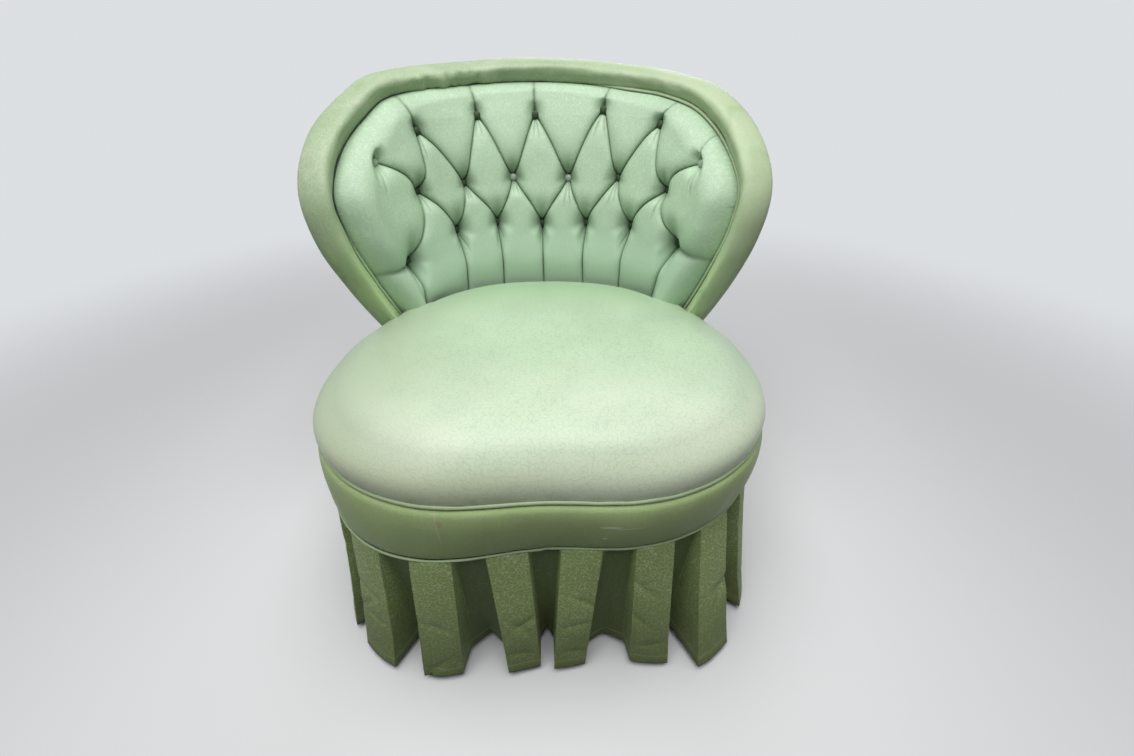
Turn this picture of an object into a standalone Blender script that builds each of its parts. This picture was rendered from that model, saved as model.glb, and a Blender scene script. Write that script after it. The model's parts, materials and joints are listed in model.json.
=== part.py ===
"""Slipper chair: crowned kidney seat, box-pleated skirt and a barrel back with diamond tufting.

Metres, +Z up, front towards -Y. The origin is on the floor, under the middle of the chair's box.
"""

from math import cos, hypot, pi, radians, sin, tan

import bmesh
import bpy
import numpy as np
from mathutils import Vector
from mathutils.bvhtree import BVHTree

# Seat plan: a superellipse with a shallow dip in the middle of the front
SEAT_HALF_WIDTH = 0.2825
SEAT_FRONT = 0.207
SEAT_REAR = 0.328
FRONT_ROUNDNESS = 2.35
REAR_ROUNDNESS = 2.7
FRONT_DIP = 0.016
FRONT_DIP_WIDTH = 0.095

# Heights of the seat
TOP_WELT_HEIGHT = 0.335
WELT_OVER_RAIL = 0.017
RAIL_HEIGHT = 0.080
BAND_DROP = 0.084
CROWN_RISE = 0.066
CROWN_FLATNESS = 5
CROWN_SHOULDER = 0.6
REAR_SINK = 0.024
REAR_SINK_REACH = 0.060

# Seat frame and what hangs on it
RAIL_THICKNESS = 0.032
BAND_THICKNESS = 0.0085
BAND_BULGE = 0.003
TOP_WELT_RADIUS = 0.0052
SKIRT_WELT_RADIUS = 0.004
BLOCK_LENGTH = 0.072
BLOCK_THICKNESS = 0.034
BLOCK_HEIGHT = 0.050
LEG_TOP_RADIUS = 0.023
LEG_FOOT_RADIUS = 0.014
LEG_INSET = 0.046
LEG_EDGE = 0.002
GLIDE_RADIUS = 0.011
GLIDE_HEIGHT = 0.005
GLIDE_EDGE = 0.0015
DUST_COVER_THICKNESS = 0.0012
DUST_COVER_INSET = 0.016

# Springs and the hessian over them
SPRING_COUNT = 5
SPRING_PITCH = 0.080
SPRING_BENDS = 11
SPRING_HALF_WIDTH = 0.021
SPRING_WIRE_RADIUS = 0.0017
SPRING_END_SHARE = 0.893
DECK_THICKNESS = 0.0014
DECK_INSET = 0.016
DECK_RISE = 0.015

# Skirt
PLEATS = 20
HEM_HEIGHT = 0.013
CLOTH = 0.0022
TAB_SHARE = 0.56
FOLD_SHARE = 0.05
TAB_PROUD = 0.0035
VALLEY_IN = 0.0035
TAB_FLARE = 0.027
SIDE_FLARE = 0.045
VALLEY_FLARE = -0.004
VALLEY_LIFT = 0.010
FLARE_BEND = 1.2

# Back: an elliptical shell that leans back and opens out towards the top, in heights above the seat's welt
SHELL_HALF_WIDTH = 0.285
SHELL_HALF_DEPTH = 0.260
SHELL_REAR = 0.312
SHELL_DATUM = 0.025
SHELL_WIDENING = 0.08
SHELL_DEEPENING = 0.05
RECLINE = radians(13)
FRAME_OUTER = -0.006
FRAME_INNER = 0.016
FRAME_WIDTH = 0.045
POST_INSET = 0.0157
POST_SHARE = 0.30
POST_NOTCH_SHARE = 0.10
TACK_RAIL_BOTTOM = 0.012
TACK_RAIL_HEIGHT = 0.045
LINING_THICKNESS = 0.0015
OUTSIDE_THICKNESS = 0.006

# Middle line of the rolled border on the shell, foot to crown: degrees round the back, height above the welt
BORDER_HALF = (
    (58.0, -0.016),
    (63.5, 0.017),
    (72.3, 0.092),
    (78.6, 0.162),
    (79.0, 0.220),
    (71.0, 0.274),
    (57.0, 0.311),
    (30.0, 0.3405),
)
BORDER_CROWN = (0.0, 0.3485)
ROLL_FOOT = 0.0075
ROLL_HALF_TOP = 0.0135
ROLL_HALF_WING = 0.018
ROLL_HALF_FOOT = 0.012
ROLL_WIDEST = 0.55
ROLL_FRONT = 0.041
ROLL_REAR = -0.0145
ROLL_SEAT_SHARE = 0.6
BACK_WELT_RADIUS = 0.0032
BACK_WELT_DEPTH = 0.029

# Tufting: each row's buttons from left to right, degrees round the back and height above the welt
TOP_ROW = (
    (-60.0, 0.244),
    (-42.0, 0.275),
    (-20.7, 0.290),
    (-1.3, 0.289),
    (21.7, 0.296),
    (42.3, 0.281),
    (61.0, 0.239),
)
MIDDLE_ROW = (
    (-46.0, 0.198),
    (-28.0, 0.200),
    (-10.0, 0.203),
    (10.0, 0.201),
    (28.5, 0.205),
    (48.3, 0.197),
)
LOW_ROW = (
    (-54.3, 0.106),
    (-33.3, 0.135),
    (-17.2, 0.139),
    (0.0, 0.133),
    (17.0, 0.135),
    (35.0, 0.138),
    (54.8, 0.124),
)
PAD_BOTTOM = 0.005
SIDE_HEIGHTS = (PAD_BOTTOM, 0.105, 0.170, 0.215)
CORNER_HEIGHT = 0.245
PAD_EDGE_GAP = 0.0015
PAD_EDGE_DEPTH = 0.026
TUFT_DEPTH = 0.033
PUFF_DEPTH = 0.070
DIMPLE_REACH = 0.65
BUTTON_RADIUS = 0.0075
BUTTON_HEIGHT = 0.0045
BUTTON_RIM_SHARE = 0.25
BUTTON_BASE_SHARE = 0.8

# Fits
GAP = 0.0003
LAYER_GAP = 0.0005
ROLL_SEAT_GAP = 0.0008
CUSHION_LIFT = 0.002
WELD = 1e-6

# Facets
OUTLINE_STEPS = 64
BORDER_STEPS = 56
SHELL_COLUMNS = 30
LATTICE_STEPS = 3
ROUND_SIDES = 16
WELT_SIDES = 6
CROWN_RINGS = 9
SKIRT_FALLS = (0.0, 0.25, 0.6, 1.0)
TACK_RAIL_STEPS = 20

# Worked out from the sizes above
RAIL_TOP = TOP_WELT_HEIGHT - WELT_OVER_RAIL
RAIL_BOTTOM = RAIL_TOP - RAIL_HEIGHT
BAND_BOTTOM = TOP_WELT_HEIGHT - BAND_DROP
RAIL_OUTER = -BAND_THICKNESS - LAYER_GAP
RAIL_INNER = RAIL_OUTER - RAIL_THICKNESS
BAND_TOP = TOP_WELT_HEIGHT - TOP_WELT_RADIUS - LAYER_GAP
SKIRT_WELT_HEIGHT = BAND_BOTTOM
SKIRT_TOP = SKIRT_WELT_HEIGHT - SKIRT_WELT_RADIUS - GAP
CROWN_EDGE = TOP_WELT_HEIGHT + TOP_WELT_RADIUS + 4 * GAP
LINING_DEPTH = FRAME_INNER + LAYER_GAP
PAD_REAR = LINING_DEPTH + LINING_THICKNESS + LAYER_GAP
SEAT_REAR_DEPTH = PUFF_DEPTH + 0.004
DECK_RINGS = (0.0, 0.35, 0.65, SPRING_END_SHARE, (1 + SPRING_END_SHARE) / 2, 1.0)
RAIL_SPLITS = (-1 / 8, 1 / 8, 3 / 8, 5 / 8, 7 / 8)


def clear_scene():
    for old in list(bpy.data.objects):
        bpy.data.objects.remove(old, do_unlink=True)


def make_material(name, colour, roughness, metallic=0.0):
    material = bpy.data.materials.new(name)
    material.use_nodes = True
    shader = material.node_tree.nodes["Principled BSDF"]
    shader.inputs["Base Color"].default_value = (*colour, 1.0)
    shader.inputs["Roughness"].default_value = roughness
    shader.inputs["Metallic"].default_value = metallic
    return material


def finish(name, bm, material):
    """One named object from a bmesh, smooth except at real edges."""
    bmesh.ops.recalc_face_normals(bm, faces=bm.faces)
    mesh = bpy.data.meshes.new(name)
    bm.to_mesh(mesh)
    bm.free()
    mesh.materials.append(material)
    mesh.shade_smooth()
    mesh.set_sharp_from_angle(angle=radians(40))
    piece = bpy.data.objects.new(name, mesh)
    bpy.context.collection.objects.link(piece)
    return piece


def loft(name, along, across, place, material, caps=False):
    """A grid of along x across faces whose points place(u, v) sets. Edges that meet are joined."""
    bm = bmesh.new()
    bmesh.ops.create_grid(bm, x_segments=along, y_segments=across, size=1.0)
    for vert in bm.verts:
        vert.co = place((vert.co.x + 1) / 2, (vert.co.y + 1) / 2)
    bmesh.ops.remove_doubles(bm, verts=bm.verts, dist=WELD)
    if caps:
        bmesh.ops.holes_fill(bm, edges=bm.edges, sides=0)
    return finish(name, bm, material)


def pillow(name, columns, rows, face, rear, leans_right, material):
    """A closed pad from a grid cut along its folds, with its own formulas for the face and the rear."""
    bm = bmesh.new()
    bmesh.ops.create_grid(bm, x_segments=columns, y_segments=rows, size=1.0)

    def place_of(point):
        return (point.x + 1) / 2 * columns, (point.y + 1) / 2 * rows

    for quad in list(bm.faces):
        middle = quad.calc_center_median()
        corners = sorted(quad.verts, key=lambda vert: tuple(vert.co.xy))
        lower_left, upper_left, lower_right, upper_right = corners
        if leans_right(*place_of(middle)):
            bmesh.utils.face_split(quad, lower_left, upper_right)
        else:
            bmesh.utils.face_split(quad, lower_right, upper_left)
    rear_verts = list(bm.verts)
    made = bmesh.ops.extrude_face_region(bm, geom=list(bm.faces), use_keep_orig=True)["geom"]
    face_verts = [item for item in made if isinstance(item, bmesh.types.BMVert)]
    for verts, place in ((rear_verts, rear), (face_verts, face)):
        for vert in verts:
            column, row = place_of(vert.co)
            vert.co = place(round(column), round(row))
    return finish(name, bm, material)


def thicken(piece, thickness):
    solid = piece.modifiers.new("thickness", "SOLIDIFY")
    solid.thickness = thickness
    solid.offset = 0.0
    return piece


def cut(piece, cutter):
    cutter.hide_render = True
    cutter.display_type = "WIRE"
    boolean = piece.modifiers.new("cut", "BOOLEAN")
    boolean.operation = "DIFFERENCE"
    boolean.object = cutter


def turned(name, profile, sides, material):
    """A solid of revolution about Z from (radius, height) points that start and end on the axis."""
    bm = bmesh.new()
    verts = [bm.verts.new((radius, 0, height)) for radius, height in profile]
    edges = [bm.edges.new(pair) for pair in zip(verts, verts[1:])]
    axis = Vector((0, 0, 1))
    turn = 2 * pi
    bmesh.ops.spin(bm, geom=verts + edges, axis=axis, cent=Vector(), steps=sides, angle=turn, use_merge=True)
    bmesh.ops.remove_doubles(bm, verts=bm.verts, dist=WELD)
    return finish(name, bm, material)


def smooth(value):
    value = min(max(value, 0.0), 1.0)
    return value * value * (3 - 2 * value)


def spline(points, steps):
    """Points on a Catmull-Rom curve through the given ones."""
    points = np.array(points, float)
    ends = np.vstack([2 * points[0] - points[1], points, 2 * points[-1] - points[-2]])
    curve = []
    for a, b, c, d in zip(ends, ends[1:], ends[2:], ends[3:]):
        for t in np.arange(steps) / steps:
            bend = 2 * a - 5 * b + 4 * c - d
            twist = 3 * b - a - 3 * c + d
            curve.append(b + (c - a) * t / 2 + bend * t**2 / 2 + twist * t**3 / 2)
    return np.array(curve + [points[-1]])


# Seat outline


def signed_power(value, power):
    return np.sign(value) * np.abs(value) ** power


def outline_table():
    """Points and outward normals at even steps round the seat, anticlockwise from the middle of the front."""
    turn = np.linspace(0, 2 * pi, 4001)
    front = np.cos(turn) > 0
    power = 2 / np.where(front, FRONT_ROUNDNESS, REAR_ROUNDNESS)
    x = SEAT_HALF_WIDTH * signed_power(np.sin(turn), power)
    y = -np.where(front, SEAT_FRONT, SEAT_REAR) * signed_power(np.cos(turn), power)
    y = y + np.where(front, FRONT_DIP * np.exp(-((x / FRONT_DIP_WIDTH) ** 2)), 0)
    length = np.concatenate([[0], np.cumsum(np.hypot(np.diff(x), np.diff(y)))])
    even = np.linspace(0, length[-1], 1025)
    x, y = np.interp(even, length, x), np.interp(even, length, y)
    dx = np.roll(x[:-1], -4) - np.roll(x[:-1], 4)
    dy = np.roll(y[:-1], -4) - np.roll(y[:-1], 4)
    size = np.hypot(dx, dy)
    return x[:-1], y[:-1], dy / size, -dx / size, length[-1]


OUTLINE_X, OUTLINE_Y, OUTLINE_NX, OUTLINE_NY, OUTLINE_LENGTH = outline_table()


def outline(share, grow, height):
    """The point at this share of the way round the seat, moved out by grow."""
    count = len(OUTLINE_X)
    where = (share % 1.0) * count
    first = int(where) % count
    part = where - int(where)
    second = (first + 1) % count

    def mixed(values):
        return values[first] * (1 - part) + values[second] * part

    x = mixed(OUTLINE_X) + grow * mixed(OUTLINE_NX)
    y = mixed(OUTLINE_Y) + grow * mixed(OUTLINE_NY)
    return Vector((x, y, height))


def inward(share, edge, scale, height):
    """The outline's point at this share, drawn in by edge and then scaled towards the middle of the seat."""
    point = outline(share, edge, height)
    return Vector((point.x * scale, point.y * scale, height))


def seat_ring(name, steps, section, material):
    """A closed ring round the seat from a closed section of (grow, height) points."""

    def place(u, v):
        grow, height = section[round(v * len(section)) % len(section)]
        return outline(u, grow, height)

    return loft(name, steps, len(section), place, material)


def circle(grow, height, radius, sides):
    turns = [2 * pi * k / sides for k in range(sides)]
    return [(grow + radius * cos(turn), height + radius * sin(turn)) for turn in turns]


# Back shell


def back_point(angle, height, depth):
    """A point of the back: angle round it, height above the welt, depth forwards from the frame's middle."""
    rise = height - SHELL_DATUM
    half_width = SHELL_HALF_WIDTH + SHELL_WIDENING * rise
    half_depth = SHELL_HALF_DEPTH + SHELL_DEEPENING * rise
    middle = SHELL_REAR + rise * tan(RECLINE) - half_depth
    normal = Vector((half_depth * sin(angle), half_width * cos(angle))).normalized()
    x = half_width * sin(angle) - depth * normal.x
    y = middle + half_depth * cos(angle) - depth * normal.y
    return Vector((x, y, TOP_WELT_HEIGHT + height))


def arc_per_radian(angle, height):
    rise = height - SHELL_DATUM
    half_width = SHELL_HALF_WIDTH + SHELL_WIDENING * rise
    half_depth = SHELL_HALF_DEPTH + SHELL_DEEPENING * rise
    return hypot(half_width * cos(angle), half_depth * sin(angle))


def seat_inset(point):
    """How far inside the seat's outline a point lies, seen from above."""
    nearest = int(np.argmin(np.hypot(OUTLINE_X - point.x, OUTLINE_Y - point.y)))
    across = (OUTLINE_X[nearest] - point.x) * OUTLINE_NX[nearest]
    return across + (OUTLINE_Y[nearest] - point.y) * OUTLINE_NY[nearest]


def back_span():
    """Draws the back's angles together or apart until the posts' feet stand on the seat rail."""
    foot = -WELT_OVER_RAIL
    edge = ROLL_SEAT_SHARE * ROLL_HALF_FOOT + ROLL_SEAT_GAP
    narrow, wide = radians(20), radians(90)
    for _ in range(40):
        middle = (narrow + wide) / 2
        outer = back_point(middle - edge / arc_per_radian(middle, foot), foot, FRAME_OUTER)
        if seat_inset(outer) > POST_INSET:
            narrow = middle
        else:
            wide = middle
    return narrow / radians(BORDER_HALF[0][0])


BACK_SPAN = back_span()


def back_angle(degrees):
    return radians(degrees) * BACK_SPAN


def border_table():
    """Angle, height and outward direction along the border's middle line, left foot to right foot."""
    left = [(-angle, height) for angle, height in BORDER_HALF]
    points = left + [BORDER_CROWN] + list(reversed(BORDER_HALF))
    curve = spline([(back_angle(angle), height) for angle, height in points], 40)
    scale = np.array([arc_per_radian(angle, height) for angle, height in curve])
    along = np.gradient(curve[:, 0]) * scale
    up = np.gradient(curve[:, 1])
    step = np.hypot(along, up)
    length = np.concatenate([[0], np.cumsum((step[1:] + step[:-1]) / 2)])
    return curve[:, 0], curve[:, 1], -up / step, along / step, scale, length / length[-1]


B_ANGLE, B_HEIGHT, B_OUT, B_UP, B_SCALE, B_SHARE = border_table()
BORDER_WIDEST = float(B_SHARE[int(np.argmin(B_ANGLE))])


def border_place(share, across):
    """Angle and height at this share of the border, moved out from its middle line by across."""
    columns = (B_ANGLE, B_HEIGHT, B_OUT, B_UP, B_SCALE)
    angle, height, out, up, scale = (np.interp(share, B_SHARE, column) for column in columns)
    return angle + across * out / scale, height + across * up


def border_point(share, across, depth):
    angle, height = border_place(share, across)
    return back_point(angle, height, depth)


def roll_half(share):
    """Half width of the roll: slim along the top, full at the wings, drawn in at the feet."""
    down = abs(2 * share - 1)
    if down < ROLL_WIDEST:
        return ROLL_HALF_TOP + (ROLL_HALF_WING - ROLL_HALF_TOP) * smooth(down / ROLL_WIDEST)
    below = (down - ROLL_WIDEST) / (1 - ROLL_WIDEST)
    return ROLL_HALF_WING + (ROLL_HALF_FOOT - ROLL_HALF_WING) * smooth(below)


def share_at_height(height):
    """The share of the border, on the left side, where its middle line reaches this height."""
    half = len(B_SHARE) // 2 + 1
    return float(np.interp(height, B_HEIGHT[:half], B_SHARE[:half]))


def edge_line(extra):
    """Angles and heights of the line that lies extra inside the roll's seat, right foot to crown."""
    shares = np.linspace(1, 0.5, 160)
    places = [border_place(share, -ROLL_SEAT_SHARE * roll_half(share) - extra) for share in shares]
    return np.array([p[0] for p in places]), np.array([p[1] for p in places])


def shell_sheet(name, depth, bottom, extra, thickness, material):
    """A curved sheet of the back from bottom up to the border, as upright strips."""
    angles, heights = edge_line(extra)
    widest = int(np.argmax(angles))
    reach = angles[widest]

    def place(u, v):
        angle = reach * (2 * u - 1)
        low = max(bottom, float(np.interp(abs(angle), angles[: widest + 1], heights[: widest + 1])))
        top = float(np.interp(abs(angle), angles[widest:][::-1], heights[widest:][::-1]))
        return back_point(angle, low + (max(top, low) - low) * v, depth)

    return thicken(loft(name, SHELL_COLUMNS, 1, place, material), thickness)


# Seat frame


def make_seat_frame(wood, metal):
    section = (
        (RAIL_OUTER, RAIL_BOTTOM),
        (RAIL_OUTER, RAIL_TOP),
        (RAIL_INNER, RAIL_TOP),
        (RAIL_INNER, RAIL_BOTTOM),
    )
    names = ("seat_rail_front", "seat_rail_right", "seat_rail_rear", "seat_rail_left")
    joint = GAP / OUTLINE_LENGTH
    for name, start, end in zip(names, RAIL_SPLITS, RAIL_SPLITS[1:]):

        def place(u, v, start=start, end=end):
            grow, height = section[round(v * 4) % 4]
            return outline(start + joint + (end - start - 2 * joint) * u, grow, height)

        loft(name, OUTLINE_STEPS // 4, 4, place, wood, caps=True)
    for number, split in enumerate(RAIL_SPLITS[1:], 1):
        make_corner(number, split, wood, metal)


def make_corner(number, split, wood, metal):
    """Block, leg and glide at one corner of the seat frame."""
    outer = RAIL_INNER - LAYER_GAP
    inner = outer - BLOCK_THICKNESS
    top = RAIL_BOTTOM + BLOCK_HEIGHT
    section = ((outer, RAIL_BOTTOM), (outer, top), (inner, top), (inner, RAIL_BOTTOM))
    half = BLOCK_LENGTH / 2 / OUTLINE_LENGTH

    def place(u, v):
        grow, height = section[round(v * 4) % 4]
        return outline(split + half * (2 * u - 1), grow, height)

    loft(f"corner_block_{number}", 4, 4, place, wood, caps=True)
    foot = GLIDE_HEIGHT + GAP
    head = RAIL_BOTTOM - GAP
    profile = (
        (0, head),
        (LEG_TOP_RADIUS, head),
        (LEG_TOP_RADIUS, head - BLOCK_HEIGHT / 2),
        (LEG_FOOT_RADIUS, foot + LEG_EDGE),
        (LEG_FOOT_RADIUS - LEG_EDGE, foot),
        (0, foot),
    )
    centre = outline(split, -LEG_INSET, 0)
    turned(f"leg_{number}", profile, ROUND_SIDES, wood).location = centre
    profile = (
        (0, GLIDE_HEIGHT),
        (GLIDE_RADIUS - GLIDE_EDGE, GLIDE_HEIGHT),
        (GLIDE_RADIUS, GLIDE_HEIGHT - GLIDE_EDGE),
        (GLIDE_RADIUS, GLIDE_EDGE),
        (GLIDE_RADIUS - GLIDE_EDGE, 0),
        (0, 0),
    )
    turned(f"leg_glide_{number}", profile, ROUND_SIDES, metal).location = centre


def make_dust_cover(cambric):
    """Thin cloth under the frame, cut out round the legs."""
    top = RAIL_BOTTOM - LAYER_GAP
    bm = bmesh.new()
    edge = [bm.verts.new(outline(k / OUTLINE_STEPS, -DUST_COVER_INSET, top)) for k in range(OUTLINE_STEPS)]
    lower = bmesh.ops.extrude_face_region(bm, geom=[bm.faces.new(edge)])["geom"]
    moved = [item for item in lower if isinstance(item, bmesh.types.BMVert)]
    bmesh.ops.translate(bm, verts=moved, vec=(0, 0, -DUST_COVER_THICKNESS))
    cover = finish("dust_cover", bm, cambric)
    for number, split in enumerate(RAIL_SPLITS[1:], 1):
        reach = LEG_TOP_RADIUS + 2 * GAP
        over, under = top + LEG_INSET, top - LEG_INSET
        profile = ((0, over), (reach, over), (reach, under), (0, under))
        hole = turned(f"leg_hole_{number}", profile, ROUND_SIDES, cambric)
        hole.location = outline(split, -LEG_INSET, 0)
        cut(cover, hole)


# Seat suspension


def deck_under(scale):
    """Height of the hessian's lower face, at this share of the way from the middle to its edge."""
    lift = 2 * SPRING_WIRE_RADIUS + 3 * GAP
    domed = [lift + DECK_RISE * (1 - (ring / SPRING_END_SHARE) ** 2) for ring in DECK_RINGS[:-2]]
    return RAIL_TOP + GAP + float(np.interp(scale, DECK_RINGS, domed + [0.0, 0.0]))


def deck_scale(x, y):
    """How far out a point of the deck lies, from 0 in the middle to 1 at the deck's edge."""
    shares = np.arange(len(OUTLINE_X)) / len(OUTLINE_X)
    edge_x = OUTLINE_X - DECK_INSET * OUTLINE_NX
    edge_y = OUTLINE_Y - DECK_INSET * OUTLINE_NY
    bearing = np.unwrap(np.arctan2(edge_x, -edge_y))
    at = float(np.interp(np.arctan2(x, -y) % (2 * pi), bearing, shares))
    edge = outline(at, -DECK_INSET, 0)
    return hypot(x, y) / hypot(edge.x, edge.y)


def make_deck(hessian, post_feet):
    rings = len(DECK_RINGS) - 1

    def place(u, v):
        scale = DECK_RINGS[round(v * rings)]
        return inward(u, -DECK_INSET, scale, deck_under(scale) + DECK_THICKNESS / 2)

    deck = thicken(loft("seat_deck", OUTLINE_STEPS // 2, rings, place, hessian), DECK_THICKNESS)
    for foot in post_feet:
        cut(deck, foot)


def spring_end(x, direction):
    """The y where a spring at this x reaches its seat on the rail."""
    y = np.linspace(0, direction * max(SEAT_FRONT, SEAT_REAR), 400)
    scales = np.array([deck_scale(x, value) for value in y])
    return float(np.interp(SPRING_END_SHARE, scales, y))


def make_springs(steel):
    """Sinuous springs: wire bent to and fro from the front rail to the rear rail, under the hessian."""
    for number in range(SPRING_COUNT):
        middle = SPRING_PITCH * (number - (SPRING_COUNT - 1) / 2)
        front = spring_end(middle, -1)
        rear = spring_end(middle, 1)
        curve = bpy.data.curves.new(f"seat_spring_{number + 1}", "CURVE")
        curve.dimensions = "3D"
        curve.bevel_depth = SPRING_WIRE_RADIUS
        curve.bevel_resolution = 0
        curve.use_fill_caps = True
        wire = curve.splines.new("POLY")
        count = SPRING_BENDS * 4 + 1
        wire.points.add(count - 1)
        for k, point in enumerate(wire.points):
            turn = pi * SPRING_BENDS * k / (count - 1)
            x = middle - SPRING_HALF_WIDTH * sin(turn)
            y = front + (rear - front) * k / (count - 1)
            z = deck_under(deck_scale(x, y)) - SPRING_WIRE_RADIUS - 2 * GAP
            point.co = (x, y, z, 1)
        curve.materials.append(steel)
        spring = bpy.data.objects.new(curve.name, curve)
        bpy.context.collection.objects.link(spring)


# Seat upholstery


def rear_limit(share):
    """How far a spoke towards this share of the outline may run before it meets the back pad or the roll."""
    edge = outline(share, 0, 0)
    if edge.y <= 0:
        return 1.0
    front_of_wing = border_point(share_at_height(ROLL_FOOT), ROLL_HALF_FOOT, ROLL_FRONT).y - LAYER_GAP
    wing = front_of_wing / edge.y
    scales = np.linspace(0, 1, 200)
    half_width = SHELL_HALF_WIDTH - SEAT_REAR_DEPTH
    half_depth = SHELL_HALF_DEPTH - SEAT_REAR_DEPTH
    middle = SHELL_REAR - SHELL_HALF_DEPTH
    inside = np.hypot(edge.x * scales / half_width, (edge.y * scales - middle) / half_depth) < 1
    return min(1.0, max(wing, float(scales[inside].max())))


def crown(scale):
    return CROWN_RISE * (1 - min(scale, 1.0) ** CROWN_FLATNESS) ** CROWN_SHOULDER


def make_seat_cushion(cloth):
    """Crowned seat: flat over the deck, notched for the welt at its edge, sunk where it meets the back."""
    rings_under = len(DECK_RINGS)
    crown_scale = np.sin(np.linspace(0, pi / 2, CROWN_RINGS)) ** 0.8

    def place(u, v):
        limit = rear_limit(u)
        ring = round(v * (CROWN_RINGS + rings_under))
        if ring < CROWN_RINGS:
            scale = crown_scale[ring] * limit
            sink = 0.0
            if limit < 1.0:
                reach = outline(u, 0, 0).length * (limit - scale)
                sink = REAR_SINK * smooth(1 - reach / REAR_SINK_REACH)
            return inward(u, -2 * LAYER_GAP, scale, CROWN_EDGE + max(crown(scale) - sink, 0.0))
        scale = limit if ring == CROWN_RINGS else min(DECK_RINGS[CROWN_RINGS + rings_under - ring], limit)
        under = deck_under(scale) + DECK_THICKNESS + CUSHION_LIFT
        if ring == CROWN_RINGS:
            return inward(u, -BAND_THICKNESS, limit, max(BAND_TOP + LAYER_GAP, under))
        return inward(u, -DECK_INSET, scale, under)

    return loft("seat_cushion", OUTLINE_STEPS, CROWN_RINGS + rings_under, place, cloth)


def make_band(cloth):
    middle = (BAND_BOTTOM + BAND_TOP) / 2
    section = (
        (0, BAND_BOTTOM),
        (BAND_BULGE, middle),
        (0, BAND_TOP),
        (-BAND_THICKNESS, BAND_TOP),
        (-BAND_THICKNESS, BAND_BOTTOM),
    )
    seat_ring("seat_band", OUTLINE_STEPS, section, cloth)
    section = circle(LAYER_GAP, TOP_WELT_HEIGHT, TOP_WELT_RADIUS, WELT_SIDES)
    seat_ring("seat_top_welt", OUTLINE_STEPS, section, cloth)
    section = circle(SKIRT_WELT_RADIUS + LAYER_GAP, SKIRT_WELT_HEIGHT, SKIRT_WELT_RADIUS, WELT_SIDES)
    seat_ring("skirt_welt", OUTLINE_STEPS, section, cloth)


def make_skirt(cloth):
    """Box pleats: flat tabs that stand out more towards the hem, with the cloth set back between them."""
    phases = (0.0, TAB_SHARE, TAB_SHARE + FOLD_SHARE, 1.0 - FOLD_SHARE)
    rows = len(SKIRT_FALLS) - 1

    def place(u, v):
        column = round(u * PLEATS * len(phases))
        step = column % len(phases)
        share = (column // len(phases) + phases[step] - TAB_SHARE / 2 + 0.5) / PLEATS
        fall = SKIRT_FALLS[round(v * rows)]
        flare = TAB_FLARE + (SIDE_FLARE - TAB_FLARE) * sin(2 * pi * share) ** 2
        if step < 2:
            grow = TAB_PROUD + flare * fall**FLARE_BEND
            hem = HEM_HEIGHT
        else:
            grow = -VALLEY_IN + VALLEY_FLARE * fall
            hem = HEM_HEIGHT + VALLEY_LIFT
        return outline(share, grow, SKIRT_TOP + (hem - SKIRT_TOP) * fall)

    skirt = thicken(loft("skirt", PLEATS * len(phases), rows, place, cloth), CLOTH)
    skirt.modifiers["thickness"].use_even_offset = True


# Back


def frame_strip(name, start, end, steps, wood, foot=None, clearance=0.0):
    """A curved bar of the back frame along the border, its foot cut level where one is given."""

    section = ((0, 0), (0, 1), (0.5, 1), (1, 1), (1, 0), (0.5, 0))
    outer_face = FRAME_OUTER - clearance
    inner_face = FRAME_INNER + clearance

    def place(u, v):
        share = start + (end - start) * u
        over, front = section[round(v * len(section)) % len(section)]
        edge = -ROLL_SEAT_SHARE * roll_half(share) - ROLL_SEAT_GAP + clearance
        angle, height = border_place(share, edge - (FRAME_WIDTH + 2 * clearance) * over)
        at_foot = foot is not None and min(share, 1 - share) < WELD
        return back_point(angle, foot if at_foot else height, inner_face if front else outer_face)

    return loft(name, steps, len(section), place, wood, caps=True)


def make_back_frame(wood):
    """Two posts, the top rail and the tack rail. Returns cutters for the posts' feet."""
    joint = LAYER_GAP / 2
    foot = GAP - WELT_OVER_RAIL
    steps = round(BORDER_STEPS * POST_SHARE)
    frame_strip("back_post_left", 0.0, POST_SHARE - joint, steps, wood, foot)
    frame_strip("back_post_right", 1.0, 1 - POST_SHARE + joint, steps, wood, foot)
    frame_strip("back_top_rail", POST_SHARE + joint, 1 - POST_SHARE - joint, BORDER_STEPS - 2 * steps, wood)
    angles, heights = edge_line(FRAME_WIDTH + 2 * LAYER_GAP)
    rising = slice(0, int(np.argmax(angles)) + 1)
    reach = float(np.interp(TACK_RAIL_BOTTOM, heights[rising], angles[rising]))

    def place(u, v):
        corner = round(v * 4) % 4
        height = TACK_RAIL_BOTTOM + (TACK_RAIL_HEIGHT if corner in (1, 2) else 0)
        return back_point(reach * (2 * u - 1), height, FRAME_OUTER if corner < 2 else FRAME_INNER)

    loft("back_tack_rail", TACK_RAIL_STEPS, 4, place, wood, caps=True)
    notch_foot = -WELT_OVER_RAIL - LAYER_GAP
    left = frame_strip("post_notch_left", 0.0, POST_NOTCH_SHARE, 4, wood, notch_foot, LAYER_GAP)
    right = frame_strip("post_notch_right", 1.0, 1 - POST_NOTCH_SHARE, 4, wood, notch_foot, LAYER_GAP)
    return left, right


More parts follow.
